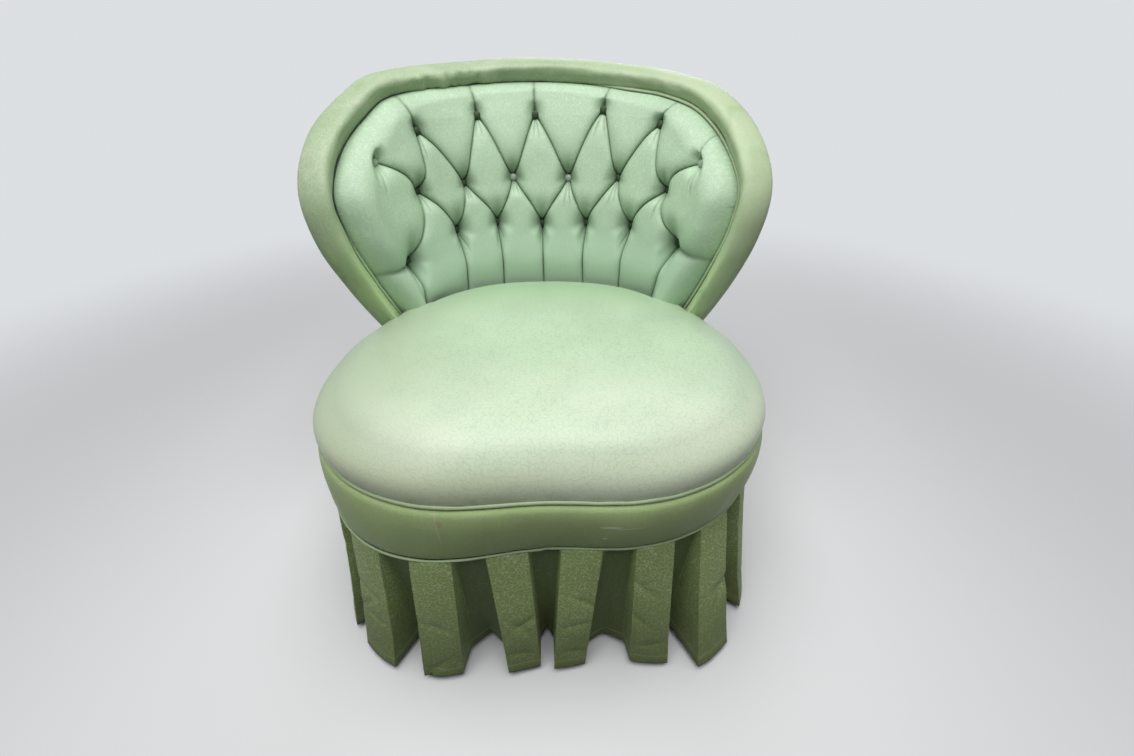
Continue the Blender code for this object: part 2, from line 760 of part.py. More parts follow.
def make_roll(cloth):
    """D-section padded roll seated on the frame's edge, with the welt that closes its front."""
    seat = -ROLL_SEAT_SHARE
    seat_front = (FRAME_INNER + LAYER_GAP - ROLL_REAR) / (ROLL_FRONT - ROLL_REAR)
    section = (
        (seat, 0.08),
        (seat, seat_front),
        (-0.98, 0.66),
        (-1.0, 0.77),
        (-0.78, 0.93),
        (-0.30, 1.0),
        (0.25, 0.95),
        (0.75, 0.73),
        (1.0, 0.44),
        (0.88, 0.19),
        (0.40, 0.035),
        (-0.20, 0.0),
    )
    foot_share = share_at_height(ROLL_FOOT)

    def place(u, v):
        share = foot_share + (1 - 2 * foot_share) * u
        across, front = section[round(v * len(section)) % len(section)]
        angle, height = border_place(share, across * roll_half(share))
        depth = ROLL_REAR + (ROLL_FRONT - ROLL_REAR) * front
        return back_point(angle, ROLL_FOOT if u in (0.0, 1.0) else max(height, ROLL_FOOT), depth)

    loft("back_roll", BORDER_STEPS, len(section), place, cloth, caps=True)

    def place_welt(u, v):
        share = foot_share + (1 - 2 * foot_share) * u
        turn = 2 * pi * round(v * WELT_SIDES) / WELT_SIDES
        across = -roll_half(share) - BACK_WELT_RADIUS - LAYER_GAP + BACK_WELT_RADIUS * cos(turn)
        angle, height = border_place(share, across)
        return back_point(angle, max(height, ROLL_FOOT), BACK_WELT_DEPTH + BACK_WELT_RADIUS * sin(turn))

    loft("back_welt", BORDER_STEPS, WELT_SIDES, place_welt, cloth, caps=True)


def pad_edge(share):
    """Angle and height of the pad's edge beside the welt."""
    return border_place(share, -roll_half(share) - 2 * BACK_WELT_RADIUS - LAYER_GAP - PAD_EDGE_GAP)


def pad_edge_share(axis, value, first, last):
    """The share of the border where the pad's edge has this angle (axis 0) or height (axis 1)."""
    shares = np.linspace(first, last, 300)
    values = [pad_edge(share)[axis] for share in shares]
    return float(np.interp(value, values, shares))


def tuft_row(buttons, first):
    """Angle and height of every half tuft between a row's first and last button."""
    columns = [first + 2 * k for k in range(len(buttons))]
    between = np.arange(columns[0], columns[-1] + 1)
    angles = np.interp(between, columns, [back_angle(angle) for angle, _ in buttons])
    heights = np.interp(between, columns, [height for _, height in buttons])
    return list(zip(angles, heights))


def tuft_lattice():
    """The pad's points, LATTICE_STEPS to each half tuft, from left to right and from the seat upwards."""
    side = [pad_edge_share(1, height, 0.0, BORDER_WIDEST) for height in SIDE_HEIGHTS]
    side.append(pad_edge_share(1, CORNER_HEIGHT, BORDER_WIDEST, 0.5))
    low = tuft_row(LOW_ROW, 0)
    middle = tuft_row(MIDDLE_ROW, 1)
    top = tuft_row(TOP_ROW, 0)
    left = [pad_edge(share) for share in side]
    right = [pad_edge(1 - share) for share in side]
    wing_left = np.mean([left[2], middle[0]], axis=0)
    wing_right = np.mean([right[2], middle[-1]], axis=0)
    fan = [angle * (1.04 + 0.06 * abs(angle)) for angle, _ in top]
    fan = [pad_edge_share(0, angle, BORDER_WIDEST, 1 - BORDER_WIDEST) for angle in fan]
    rows = (
        [left[0]] + [(angle, PAD_BOTTOM) for angle, _ in low] + [right[0]],
        [left[1]] + low + [right[1]],
        [left[2], wing_left] + middle + [wing_right, right[2]],
        [left[3]] + top + [right[3]],
        [left[4]] + [pad_edge(share) for share in fan] + [right[4]],
    )
    fine = np.array([spline(row, LATTICE_STEPS) for row in rows])
    fine = np.array([spline(fine[:, k], LATTICE_STEPS) for k in range(fine.shape[1])])
    column_count, row_count = fine.shape[0], fine.shape[1]
    for row in range(row_count):
        share = float(np.interp(row / LATTICE_STEPS, range(len(side)), side))
        fine[0, row] = pad_edge(share)
        fine[-1, row] = pad_edge(1 - share)
    crest = [side[-1]] + fan + [1 - side[-1]]
    for column in range(column_count):
        share = float(np.interp(column / LATTICE_STEPS, range(len(crest)), crest))
        fine[column, -1] = pad_edge(share)
    return fine


def tuft_depth(column, row):
    """Depth of the pad's face at a lattice place: folds between the buttons, puffs inside the diamonds."""
    inner = min(max(column, 0.0), 12.0)
    level = min(max(row, 0.0), 2.0)
    rising = abs(sin(pi * (inner + level) / 2))
    falling = abs(sin(pi * (inner - level) / 2))
    puff = 0.25 * max(rising, falling) ** 2 + 0.75 * (rising * falling) ** 0.6
    puff *= smooth(max(rising, falling) / DIMPLE_REACH)
    beyond = max(-column, column - 12.0, 0.0)
    if beyond > 0:
        puff = max(puff, 0.75 * smooth(beyond * 1.6))
    depth = TUFT_DEPTH + (PUFF_DEPTH - TUFT_DEPTH) * puff
    edge = min(smooth(column + 1), smooth(13 - column), smooth(3 - row))
    return PAD_EDGE_DEPTH + (depth - PAD_EDGE_DEPTH) * edge**0.5


def make_pad(cloth):
    """Tufted inside back: a face that follows the lattice and a plain rear on the lining."""
    fine = tuft_lattice()
    columns, rows = fine.shape[0] - 1, fine.shape[1] - 1

    def face(column, row):
        angle, height = fine[column, row]
        return back_point(angle, height, tuft_depth(column / LATTICE_STEPS - 1, row / LATTICE_STEPS - 1))

    def rear(column, row):
        angle, height = fine[column, row]
        return back_point(angle, height, PAD_REAR)

    def leans_right(column, row):
        level = row / LATTICE_STEPS - 1
        inner = column / LATTICE_STEPS - 1
        return abs(sin(pi * (inner - level) / 2)) < abs(sin(pi * (inner + level) / 2))

    return pillow("back_pad", columns, rows, face, rear, leans_right, cloth)


def make_buttons(pad, cloth):
    """Covered buttons, each pulled down until its rim meets the cloth round it."""
    bm = bmesh.new()
    bm.from_mesh(pad.data)
    face = BVHTree.FromBMesh(bm)
    bm.free()
    rim = BUTTON_HEIGHT * BUTTON_RIM_SHARE
    base = BUTTON_RADIUS * BUTTON_BASE_SHARE
    profile = (
        (0, BUTTON_HEIGHT),
        (BUTTON_RADIUS * 0.62, BUTTON_HEIGHT * 0.78),
        (BUTTON_RADIUS, rim),
        (base, 0),
        (0, 0),
    )
    underside = ((base / 2, 0), (base, 0), ((base + BUTTON_RADIUS) / 2, rim / 2), (BUTTON_RADIUS, rim))
    for number, (degrees, height) in enumerate(TOP_ROW + MIDDLE_ROW + LOW_ROW, 1):
        angle = back_angle(degrees)
        start = back_point(angle, height, PUFF_DEPTH * 2)
        inwards = (back_point(angle, height, 0) - start).normalized()
        turn = (-inwards).to_track_quat("Z", "Y")
        reached = []
        for k in range(24):
            for radius, lift in underside:
                spoke = Vector((cos(pi * k / 12), sin(pi * k / 12), 0)) * (radius + GAP / 2)
                hit = face.ray_cast(start + turn @ spoke, inwards)
                reached.append(hit[3] + lift)
        button = turned(f"back_button_{number:02d}", profile, 8, cloth)
        button.location = start + inwards * (min(reached) - GAP)
        button.rotation_mode = "QUATERNION"
        button.rotation_quaternion = turn


def stand_on_origin():
    """Parents every piece to one empty, moved so that the chair's box is centred on the origin."""
    root = bpy.data.objects.new("slipper_chair", None)
    bpy.context.collection.objects.link(root)
    bpy.context.view_layer.update()
    reach = []
    for piece in list(bpy.data.objects):
        if piece is root:
            continue
        piece.parent = root
        if not piece.hide_render:
            reach += [(piece.matrix_world @ Vector(corner)).y for corner in piece.bound_box]
    root.location.y = -(min(reach) + max(reach)) / 2
    print("moved in y by", round(root.location.y, 5))


def main():
    clear_scene()
    cloth = make_material("green satin", (0.42, 0.50, 0.26), 0.45)
    wood = make_material("beech", (0.50, 0.34, 0.19), 0.55)
    steel = make_material("spring steel", (0.30, 0.30, 0.31), 0.4, 0.9)
    metal = make_material("nickel glide", (0.62, 0.61, 0.58), 0.3, 1.0)
    hessian = make_material("hessian", (0.45, 0.34, 0.20), 0.9)
    cambric = make_material("black cambric", (0.03, 0.03, 0.03), 0.9)
    make_seat_frame(wood, metal)
    make_dust_cover(cambric)
    post_feet = make_back_frame(wood)
    make_deck(hessian, post_feet)
    make_springs(steel)
    make_seat_cushion(cloth)
    make_band(cloth)
    make_skirt(cloth)
    lining_depth = LINING_DEPTH + LINING_THICKNESS / 2
    shell_sheet("back_lining", lining_depth, TACK_RAIL_BOTTOM, FRAME_WIDTH / 2, LINING_THICKNESS, hessian)
    outside_depth = FRAME_OUTER - LAYER_GAP - OUTSIDE_THICKNESS / 2
    shell_sheet("outside_back", outside_depth, ROLL_FOOT, 2 * ROLL_SEAT_GAP, OUTSIDE_THICKNESS, cloth)
    make_roll(cloth)
    make_buttons(make_pad(cloth), cloth)
    stand_on_origin()


main()
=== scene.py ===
"""Slipper chair in worn green satin: crowned seat, box-pleated skirt and diamond-tufted barrel back."""

import json
from math import cos, pi, radians, sin, tan

import bmesh
import bpy
import numpy as np
from mathutils import Matrix, Vector, noise


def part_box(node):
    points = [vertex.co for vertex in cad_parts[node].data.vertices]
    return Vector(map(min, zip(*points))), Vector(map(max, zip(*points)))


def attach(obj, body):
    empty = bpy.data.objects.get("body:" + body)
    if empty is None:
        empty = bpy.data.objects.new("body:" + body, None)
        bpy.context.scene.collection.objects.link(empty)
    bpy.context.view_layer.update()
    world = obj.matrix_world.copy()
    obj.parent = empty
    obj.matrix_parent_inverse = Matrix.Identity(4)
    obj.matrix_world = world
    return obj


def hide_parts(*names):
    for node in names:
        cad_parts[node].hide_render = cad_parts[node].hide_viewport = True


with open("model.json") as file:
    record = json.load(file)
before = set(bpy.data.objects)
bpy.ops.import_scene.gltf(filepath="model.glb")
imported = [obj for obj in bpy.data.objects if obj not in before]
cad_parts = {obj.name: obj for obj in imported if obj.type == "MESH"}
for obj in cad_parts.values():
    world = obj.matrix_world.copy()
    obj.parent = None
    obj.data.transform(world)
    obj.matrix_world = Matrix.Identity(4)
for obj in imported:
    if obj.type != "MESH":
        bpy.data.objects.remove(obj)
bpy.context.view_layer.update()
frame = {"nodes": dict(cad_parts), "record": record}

# Seat plan: a superellipse with a shallow dip in the middle of the front
SEAT_HALF_WIDTH = 0.2790
SEAT_FRONT = 0.207
SEAT_REAR = 0.328
FRONT_ROUNDNESS = 2.35
REAR_ROUNDNESS = 2.7
FRONT_DIP = 0.016
FRONT_DIP_WIDTH = 0.095

# Heights of the seat
TOP_WELT_HEIGHT = 0.335
WELT_OVER_RAIL = 0.017
RAIL_HEIGHT = 0.080
BAND_DROP = 0.084

# Crown of the seat. A run is where a change starts and how far it reaches.
CROWN_RISE = 0.066
CROWN_FLATNESS = 8.5
CROWN_REAR_FLATNESS = 3.0
CROWN_REAR_RUN = (-0.05, 0.22)
CROWN_FRONT_GAIN = 2.0
CROWN_FRONT_RUN = (0.05, 0.12)
CROWN_SHOULDER = 0.6
SIDE_OVERHANG = 0.0070
FRONT_OVERHANG = 0.0015
OVERHANG_TOP = 0.75
OVERHANG_END_RUN = (0.05, 0.10)
REAR_SINK = 0.06
REAR_SINK_RUN = (0.15, 0.10)
NOTCH_DEPTH = 0.024
NOTCH_SIDE = 0.2276
NOTCH_SOFTNESS = 0.012
BESIDE_ROLL = 0.55
SEAT_UNDER_PAD = 0.002
PUCKER_DEPTH = 0.0008
PUCKER_WAVES = 90
PUCKER_RUN = (0.80, 0.2)
PUCKER_END = 0.1
LUMP_HEIGHT = 0.0012
LUMP_WAVES = 9
LUMP_EDGE = 8
UNDERSIDE_RINGS = (0.94, 0.6, 0.0)
UNDERSIDE_LIFT = 0.004
CUSHION_FLOOR = 0.0265

# Covers round the seat
BAND_THICKNESS = 0.0085
BAND_BULGE = 0.0075
BAND_ROUNDNESS = 0.9
BAND_FULLEST = 0.62
BAND_TUCK = 0.0012
BAND_INSET = 0.0055
BAND_INSET_BEND = 1.5
BAND_WAVE_DEPTH = 0.0011
BAND_WAVES = 14
BAND_WAVES_UP = 2
FRAME_BAND_BULGE = 0.003
LEFT_FULLNESS = 0.013
LEFT_DROP = 0.006
LEFT_MIDDLE = 0.885
LEFT_REACH = 0.070
TOP_WELT_RADIUS = 0.0025
BAND_TOP_SHARE = 0.5
CROWN_EDGE_SHARE = 0.8
TOP_WELT_TUCK = 0.0006
TOP_WELT_WANDER = 0.0007
SKIRT_WELT_RADIUS = 0.0015
SKIRT_WELT_PROUD = 0.0024
SKIRT_WELT_WANDER = 0.0005
WANDER_WAVES = 12
SWELL_WAVES = 9
SWELL_SHARE = 0.06

# Cloth that the covers hide
DUST_COVER_INSET = 0.016
DUST_COVER_DROP = 0.001
DUST_COVER_THICKNESS = 0.0006
LEG_CLEARANCE = 0.0015
DECK_INSET = 0.016
DECK_RISE = 0.0195
DECK_EDGE = 0.893
DECK_LIFT = 0.0008
HESSIAN_THICKNESS = 0.0010
LINING_DEPTH = 0.0173
LINING_FOOT = 0.012
LINING_EDGE = 0.0225

# Skirt
PLEATS = 20
SKIRT_TOP = 0.2500
HEM_HEIGHT = 0.013
HEM_DEPTH = 0.017
CLOTH = 0.0012
TAB_SHARE = 0.54
TAB_PROUD = 0.0046
TAB_TUCK = 0.0030
TAB_TUCK_BEND = 12
TAB_CROWN = 0.0010
TAB_TAPER = 0.06
TAB_FLARE = 0.027
SIDE_FLARE = 0.0485
FLARE_BEND = 1.2
FRONT_CROWDING = 0.06
VALLEY_IN = 0.0012
VALLEY_FLARE = -0.018
VALLEY_LIFT = 0.008
VALLEY_WALL = 0.05
VALLEY_WALL_BEND = 1.3
VALLEY_HOLLOW_BEND = 1.15
# How far the painted shade reaches into the valleys
VALLEY_SHADE_REACH = 0.12
PRESSED_EDGE = 0.006
VALLEY_STEPS = (0.012, 0.03, 0.06, 0.10, 0.14, 0.20, 0.28, 0.38, 0.5)

# How unevenly the pleats hang: the most to either side, or the least and the most
LEAN_SPREAD = 0.010
TILT_SPREAD = 0.004
STAND_SPREAD = 0.006
TWIST_SPREAD = 0.010
DENTS = 3
DENT_PLACES = (0.25, 0.9)
DENT_SLOPES = (-0.30, 0.30)
DENT_MIDDLES = (0.1, 0.9)
DENT_DEPTH = 0.0030
DENT_WIDTH = 0.022
DENT_REACH = 0.35
VALLEY_DEEPNESS = (0.7, 1.2)
VALLEY_HOLLOW = (0.20, 0.50)

# Waves in the cloth of the pleats: depth, then number across a pleat, from one to the next and down it
TAB_WAVES = (0.0024, 1.3, 5.7, 2.6)
VALLEY_WAVES = (0.0025, 2.1, 3.3, 3.0)

# How the tabs across the front hang: number, lean to the side, stand-off from the seat, twist
FRONT_TABS = (
    (17, -0.005, 0.011, -0.001),
    (18, -0.010, 0.003, -0.012),
    (19, 0.006, -0.004, -0.003),
    (0, -0.014, -0.006, -0.010),
    (1, 0.004, -0.006, 0.012),
    (2, -0.008, 0.020, 0.000),
)

# Back shell: an ellipse that leans back and opens out towards the top, in heights above the seat's welt
SHELL_HALF_WIDTH = 0.285
SHELL_HALF_DEPTH = 0.260
SHELL_REAR = 0.312
SHELL_DATUM = 0.025
SHELL_WIDENING = 0.08
SHELL_DEEPENING = 0.05
RECLINE = radians(13)
OUTSIDE_DEPTH = -0.0095
OUTSIDE_THICKNESS = 0.005
OUTSIDE_FOOT = 0.0008
OUTSIDE_EDGE = 0.0016
OUTSIDE_TUCK = 0.0065
RUN_OUT_HEIGHT = 0.055
PAD_REAR = 0.0187

# Middle line of the rolled border, foot to crown: degrees round the back, height above the welt
BORDER_FOOT = (
    (58.0, -0.016),
    (63.5, 0.017),
    (72.3, 0.092),
    (78.6, 0.162),
    (79.0, 0.220),
)
LEFT_SHOULDER = (
    (70.5, 0.270),
    (57.5, 0.3095),
    (48.0, 0.3305),
    (30.0, 0.3405),
)
RIGHT_SHOULDER = (
    (69.6, 0.270),
    (56.0, 0.3115),
    (44.0, 0.3285),
    (30.0, 0.3375),
)
BORDER_CROWN = (0.0, 0.3475)

# Rolled border: half widths from its crown down to its feet, depths, and its section across and forwards
ROLL_FOOT = 0.0032
ROLL_HALF_WING = 0.0165
ROLL_HALF_FOOT = 0.012
ROLL_WIDEST = 0.55
ROLL_DOWN = (0.0, 0.30, ROLL_WIDEST, 1.0)
ROLL_HALVES = (0.0155, 0.0138, ROLL_HALF_WING, ROLL_HALF_FOOT)
ROLL_FRONT = 0.041
ROLL_FRONT_WING = 0.029
ROLL_FRONT_FOOT = 0.036
ROLL_REAR = -0.0145
ROLL_SEAT_SHARE = 0.6
ROLL_SECTION = (
    (-0.60, 0.03),
    (-0.62, 0.15),
    (-0.97, 0.20),
    (-0.99, 0.42),
    (-1.00, 0.66),
    (-0.86, 0.79),
    (-0.50, 0.885),
    (-0.12, 0.96),
    (0.22, 0.99),
    (0.52, 0.95),
    (0.77, 0.82),
    (0.93, 0.62),
    (1.00, 0.39),
    (0.86, 0.16),
    (0.40, 0.035),
    (-0.20, 0.0),
)

# Gathers of the roll: share of the way along it and strength, then depths, and waves along and across
ROLL_GATHERS = ((0.39, 1.0), (0.66, 0.35))
GATHER_REACH = 0.05
GATHER_LEAST = 0.0003
GATHER_DEPTH = 0.0045
GATHER_PROUD = 0.35
GATHER_WAVES = (115, 0.8)
FOOT_REACH = 0.05
FOOT_CRUMPLE = 0.0110
FOOT_PROUD = 0.22
FOOT_WAVES = (16, 13)
ROLL_FACING_RUN = (0.35, 0.25)
ROLL_OUTER_RUN = (-0.1, 0.7)
ROLL_DIMPLES = 0.0011
ROLL_DIMPLE_WAVES = (34, 1.5)
ROLL_SWELL = 0.0012
ROLL_SWELL_WAVES = (15, 0.6)

# Cord between the roll and the pad, which dips under the roll from the left wing to past the crown
BACK_WELT_RADIUS = 0.0021
WELT_FLANGE = 0.010
FLANGE_FROM = -0.6
WELT_BEHIND_ROLL = 0.009
WELT_SINK = 0.007
CORD_LEAST = 0.0200
CORD_SEAT = 0.90
CORD_DIP_RUN = (0.14, 0.06)
CORD_RISE_RUN = (0.54, 0.08)
CORD_THINNING = 0.3
CORD_HIDDEN = 0.85
CORD_WANDER = 0.0003
CORD_WANDER_WAVES = 40
CORD_LIFT = 0.0008
CORD_LIFT_WAVES = 12

# Tufting: each row's buttons from left to right, degrees round the back and height above the welt
TOP_ROW = (
    (-60.0, 0.244),
    (-42.0, 0.275),
    (-20.7, 0.290),
    (-1.3, 0.289),
    (21.7, 0.296),
    (42.3, 0.281),
    (61.0, 0.239),
)
MIDDLE_ROW = (
    (-46.0, 0.198),
    (-28.0, 0.200),
    (-10.0, 0.203),
    (10.0, 0.201),
    (28.5, 0.205),
    (48.3, 0.197),
)
LOW_ROW = (
    (-55.6, 0.108),
    (-33.3, 0.135),
    (-17.2, 0.139),
    (0.0, 0.133),
    (17.0, 0.135),
    (35.0, 0.138),
    (56.2, 0.129),
)
FOOT_ROW = (-53.5, -33.3, -17.2, 0.0, 17.0, 32.5, 47.0)
LAST_TUFT = 12
LAST_ROW = 2
SHOWN_BUTTONS = (1, 7, 10, 11)
WING_BUTTONS = (1, 7)
CORNER_BUTTONS = (2, 6)

# Folds above the top row: how they fan out, and how those beside the wing buttons turn to the corners
FAN_SPREAD = 1.04
FAN_GAIN = 0.06
FAN_TURN = 0.09
FAN_TURN_RUN = (0.8, 0.25)
LEFT_FOLD_RUN = (2.10, 0.5)

# Edge of the pad
PAD_BOTTOM = 0.005
LEFT_SIDE = (PAD_BOTTOM, 0.105, 0.170, 0.215)
RIGHT_SIDE = (PAD_BOTTOM, 0.122, 0.177, 0.217)
CORNER_HEIGHT = 0.245
PAD_EDGE_BEHIND_ROLL = 0.010
PAD_EDGE_WING_RUN = (radians(30), radians(35))
PAD_EDGE_GAP = 0.0004
PAD_EDGE_SINK = 0.008
PAD_EDGE_DOWN = (0.0, 0.26, 0.45, 0.62, 1.0)
PAD_EDGE_REACH = (0.012, 0.015, 0.030, 0.038, 0.026)

# Puffs of the pad: depths in metres, the rest in shares of a puff's depth or in half tufts
TUFT_DEPTH = 0.033
PUFF_DEPTH = 0.070
PUFF_HEIGHTS = (0.140, 0.195, 0.245, 0.290, 0.326)
PUFF_DEPTHS = (0.069, 0.063, 0.057, 0.050, 0.041)
PUFF_ROUND = 0.8
PUFF_SAG = 0.12
SAG_BELOW = 0.45
SAG_REACH = 0.35
FOLD_FLOOR = 0.78
FOLD_RISE = 0.95
FOLD_SLIT = 0.0022
FOLD_SLIT_WIDTH = 0.04
FOLD_TURN = 0.1
FOLD_END = 0.08
CHANNEL_FLOOR = 0.80
CHANNEL_SAG = 0.12
BELLY_BELOW = 0.4
BELLY_REACH = 0.25
CHANNEL_DRAW_IN = 0.40
DRAW_IN_RUN = (0.25, 0.75)
PLEAT_RISE = 0.45
WING_BUTTON_LIFT = 0.35
WING_LIFT_REACH = 0.15
WING_BLEND = 0.35
WING_BULGE = 0.045
WING_BULGE_AT = 0.6
WING_BULGE_REACH = 0.9
LOW_CREASE_DROP = 0.03
LOW_CREASE_FLOOR = 0.52
LOW_CREASE_OPENING = 1.4
CREASE_REACH = 0.75

# Buttons, and the creases that they pull into the cloth below them
BUTTON_RADIUS = 0.0058
BUTTON_HEIGHT = 0.0040
BUTTON_PROFILE = (
    (0, 1.0),
    (0.3, 0.97),
    (0.58, 0.86),
    (0.82, 0.62),
    (0.97, 0.32),
    (1.0, 0.16),
    (0.9, 0.0),
    (0, 0),
)
BUTTON_CLOTH_STEP = 0.03
FUNNEL_RADIUS = 0.0045
SUNK_FUNNEL_RADIUS = 0.0018
DIMPLE_SOFTNESS = 0.0025
DIMPLE_FULL = 1.25
PULL_TURNS = (5, 22)
PULL_LENGTHS = (0.022, 0.044)
PULL_WIDTH = 0.0012
PULL_SKEW = 0.8
PULL_DEPTH = 0.0024

# Reach of the dimple about a button: to each side, above and below
SLIT_DIMPLE = (0.0028, 0.0130, 0.0060)
CORNER_DIMPLE = (0.0140, 0.0190, 0.0070)
WING_DIMPLE = (0.0210, 0.0230, 0.0140)
DEEP_DIMPLE = (0.0190, 0.0320, 0.0085)

# Painted shade of the folds: darkness and reach of a line and of a haze along them, then the buttons' marks
# of painted shade in their creases and pits
FOLD_SHADES = ((0.50, 0.035), (0.19, 0.17))
PULL_SHADE = 0.85
PIT_SHADE = 0.85
PIT_FADE = 1.5
WING_CLEARING = 0.6
WING_CLEARING_REACH = 0.03

# Facets
OUTLINE_STEPS = 384
OUTLINE_SAMPLES = 8001
OUTLINE_POINTS = 2049
NORMAL_STEPS = 8
SPOKE_SAMPLES = 400
CROWN_RINGS = 64
RING_CROWDING = 0.8
BAND_ROWS = 18
WELT_SIDES = 14
TAB_STEPS = 12
SKIRT_ROWS = 60
BORDER_STEPS = 420
BORDER_POINT_STEPS = 40
BORDER_SAMPLES = 240
SECTION_STEPS = 4
PANEL_COLUMNS = 120
PANEL_ROWS = 30
TUFT_STEPS = 28
PAD_EDGE_SAMPLES = 400
NEAREST_SAMPLES = 600
BUTTON_STEPS = 24
DECK_COLUMNS = 96
DECK_RINGS = 12
DUST_COVER_STEPS = 128
LEG_HOLE_STEPS = 32
WELD = 1e-6
GAP = 0.0003
LAYER_GAP = 0.0005
SEED = 7
NOISE_STEP = 17.3

# Camera fitted to the photograph, placed from the widest line of the seat
PHOTO_WIDTH = 1134
FOCAL_PIXELS = 430
SENSOR_WIDTH = 36.0
CAMERA_PITCH = radians(36.2)
CAMERA_YAW = radians(1.9)
CAMERA_ROLL = radians(0.2)
CAMERA_PLACE = (0.0165, -0.465, 0.69)

# Studio: lamps by power, size, place and aim, and the shown and lighting colours of floor and backdrop
LAMPS = {
    "overhead": (31.5, 1.3, (-0.06, -0.36, 1.85), (-0.02, -0.05, 0.3)),
    "behind": (17, 1.6, (0.5, 2.5, 0.95), (0.0, 0.2, 0.35)),
}
BACKDROP = (0.72, 0.74, 0.76)
BACKDROP_LIGHT = (0.060, 0.062, 0.064)
FLOOR = (0.86, 0.87, 0.88)
FLOOR_LIGHT = (0.08, 0.08, 0.078)
FLOOR_SIZE = 60.0
FLOOR_FADE = (0.6, 2.2)
BLACK = (0, 0, 0)

# Worked out from the sizes above and from the frame
RAIL_TOP = TOP_WELT_HEIGHT - WELT_OVER_RAIL
RAIL_BOTTOM = RAIL_TOP - RAIL_HEIGHT
BAND_BOTTOM = TOP_WELT_HEIGHT - BAND_DROP
BAND_TOP = TOP_WELT_HEIGHT - BAND_TOP_SHARE * TOP_WELT_RADIUS
CROWN_EDGE = TOP_WELT_HEIGHT + CROWN_EDGE_SHARE * TOP_WELT_RADIUS
SEAT_REAR_DEPTH = PUFF_DEPTH - SEAT_UNDER_PAD
SEAT_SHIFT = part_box("seat_band")[1].y - SEAT_REAR - FRAME_BAND_BULGE


# Mesh helpers


def add_object(name, data):
    made = bpy.data.objects.new(name, data)
    bpy.context.collection.objects.link(made)
    return made


def mesh_from(bm, name, material):
    mesh = bpy.data.meshes.new(name)
    bm.to_mesh(mesh)
    bm.free()
    mesh.materials.append(material)
    return mesh


def add_piece(name, bm, material, smooth_angle=60):
    """One object from a bmesh in the seat's own place, moved to the frame's, smooth but at sharp edges."""
    bmesh.ops.recalc_face_normals(bm, faces=bm.faces)
    bmesh.ops.translate(bm, verts=bm.verts, vec=(0, SEAT_SHIFT, 0))
    mesh = mesh_from(bm, name, material)
    mesh.shade_smooth()
    mesh.set_sharp_from_angle(angle=radians(smooth_angle))
    return add_object(name, mesh)


def lay_cloth(bm, on_cloth):
    """Gives each corner its place on the cloth, in metres, worked out from where its vertex lies."""
    thread = bm.loops.layers.uv.new("cloth")
    for face in bm.faces:
        for loop in face.loops:
            loop[thread].uv = on_cloth(loop.vert.co)


def grid_share(point):
    """How far along and across a new grid this point lies, each from 0 to 1."""
    return (point.x + 1) / 2, (point.y + 1) / 2


def loft(name, along, across, place, cloth, material, caps=False, smooth_angle=60):
    """A grid of along x across faces. place(u, v) gives its points, cloth(u, v) their places on cloth."""
    bm = bmesh.new()
    bmesh.ops.create_grid(bm, x_segments=along, y_segments=across, size=1.0)
    lay_cloth(bm, lambda point: cloth(*grid_share(point)))
    for vert in bm.verts:
        vert.co = place(*grid_share(vert.co))
    bmesh.ops.remove_doubles(bm, verts=bm.verts, dist=WELD)
    if caps:
        bmesh.ops.holes_fill(bm, edges=bm.edges, sides=0)
    return add_piece(name, bm, material, smooth_angle)


def thicken(piece, thickness):
    solid = piece.modifiers.new("thickness", "SOLIDIFY")
    solid.thickness = thickness
    solid.offset = 0.0
    solid.use_even_offset = True
    return piece


def stand_for(piece, slot, *nodes):
    """Fixes a finished piece to the chair, in place of these nodes of the frame."""
    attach(piece, "root")
    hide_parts(*nodes)
    return piece


def smooth(value):
    """Eases in and out between 0 and 1."""
    value = np.clip(value, 0.0, 1.0)
    return value * value * (3 - 2 * value)


def ease(value, start, reach):
    """Runs smoothly from 0 at start to 1 at the end of its reach."""
    return smooth((value - start) / reach)


def bell(offset, reach):
    """1 in the middle, falling away smoothly to both sides."""
    return np.exp(-((offset / reach) ** 2))


def round_edge(share):
    """A quarter round, from 0 at the edge to 1."""
    share = np.clip(share, 0.0, 1.0)
    return np.sqrt(1 - (1 - share) ** 2)


def spline(points, steps, closed=False):
    """Points on a Catmull-Rom curve through the given ones."""
    points = np.array(points, float)
    if closed:
        ends = np.vstack([points[-1], points, points[0], points[1]])
    else:
        ends = np.vstack([2 * points[0] - points[1], points, 2 * points[-1] - points[-2]])
    curve = []
    for a, b, c, d in zip(ends, ends[1:], ends[2:], ends[3:]):
        for t in np.arange(steps) / steps:
            bend = 2 * a - 5 * b + 4 * c - d
            twist = 3 * b - a - 3 * c + d
            curve.append(b + (c - a) * t / 2 + bend * t**2 / 2 + twist * t**3 / 2)
    return np.array(curve if closed else curve + [points[-1]])


def uneven(x, y, seed):
    """Smooth irregularity between about -1 and 1."""
    return noise.noise(Vector((x, y, NOISE_STEP * seed)))


def uneven_round(share, waves, seed, up=0.0):
    """Smooth irregularity that closes on itself once round the seat."""
    turn = 2 * pi * share
    return uneven(waves * sin(turn), waves * cos(turn) + up, seed)


# Seat outline


def signed_power(value, power):
    return np.sign(value) * np.abs(value) ** power


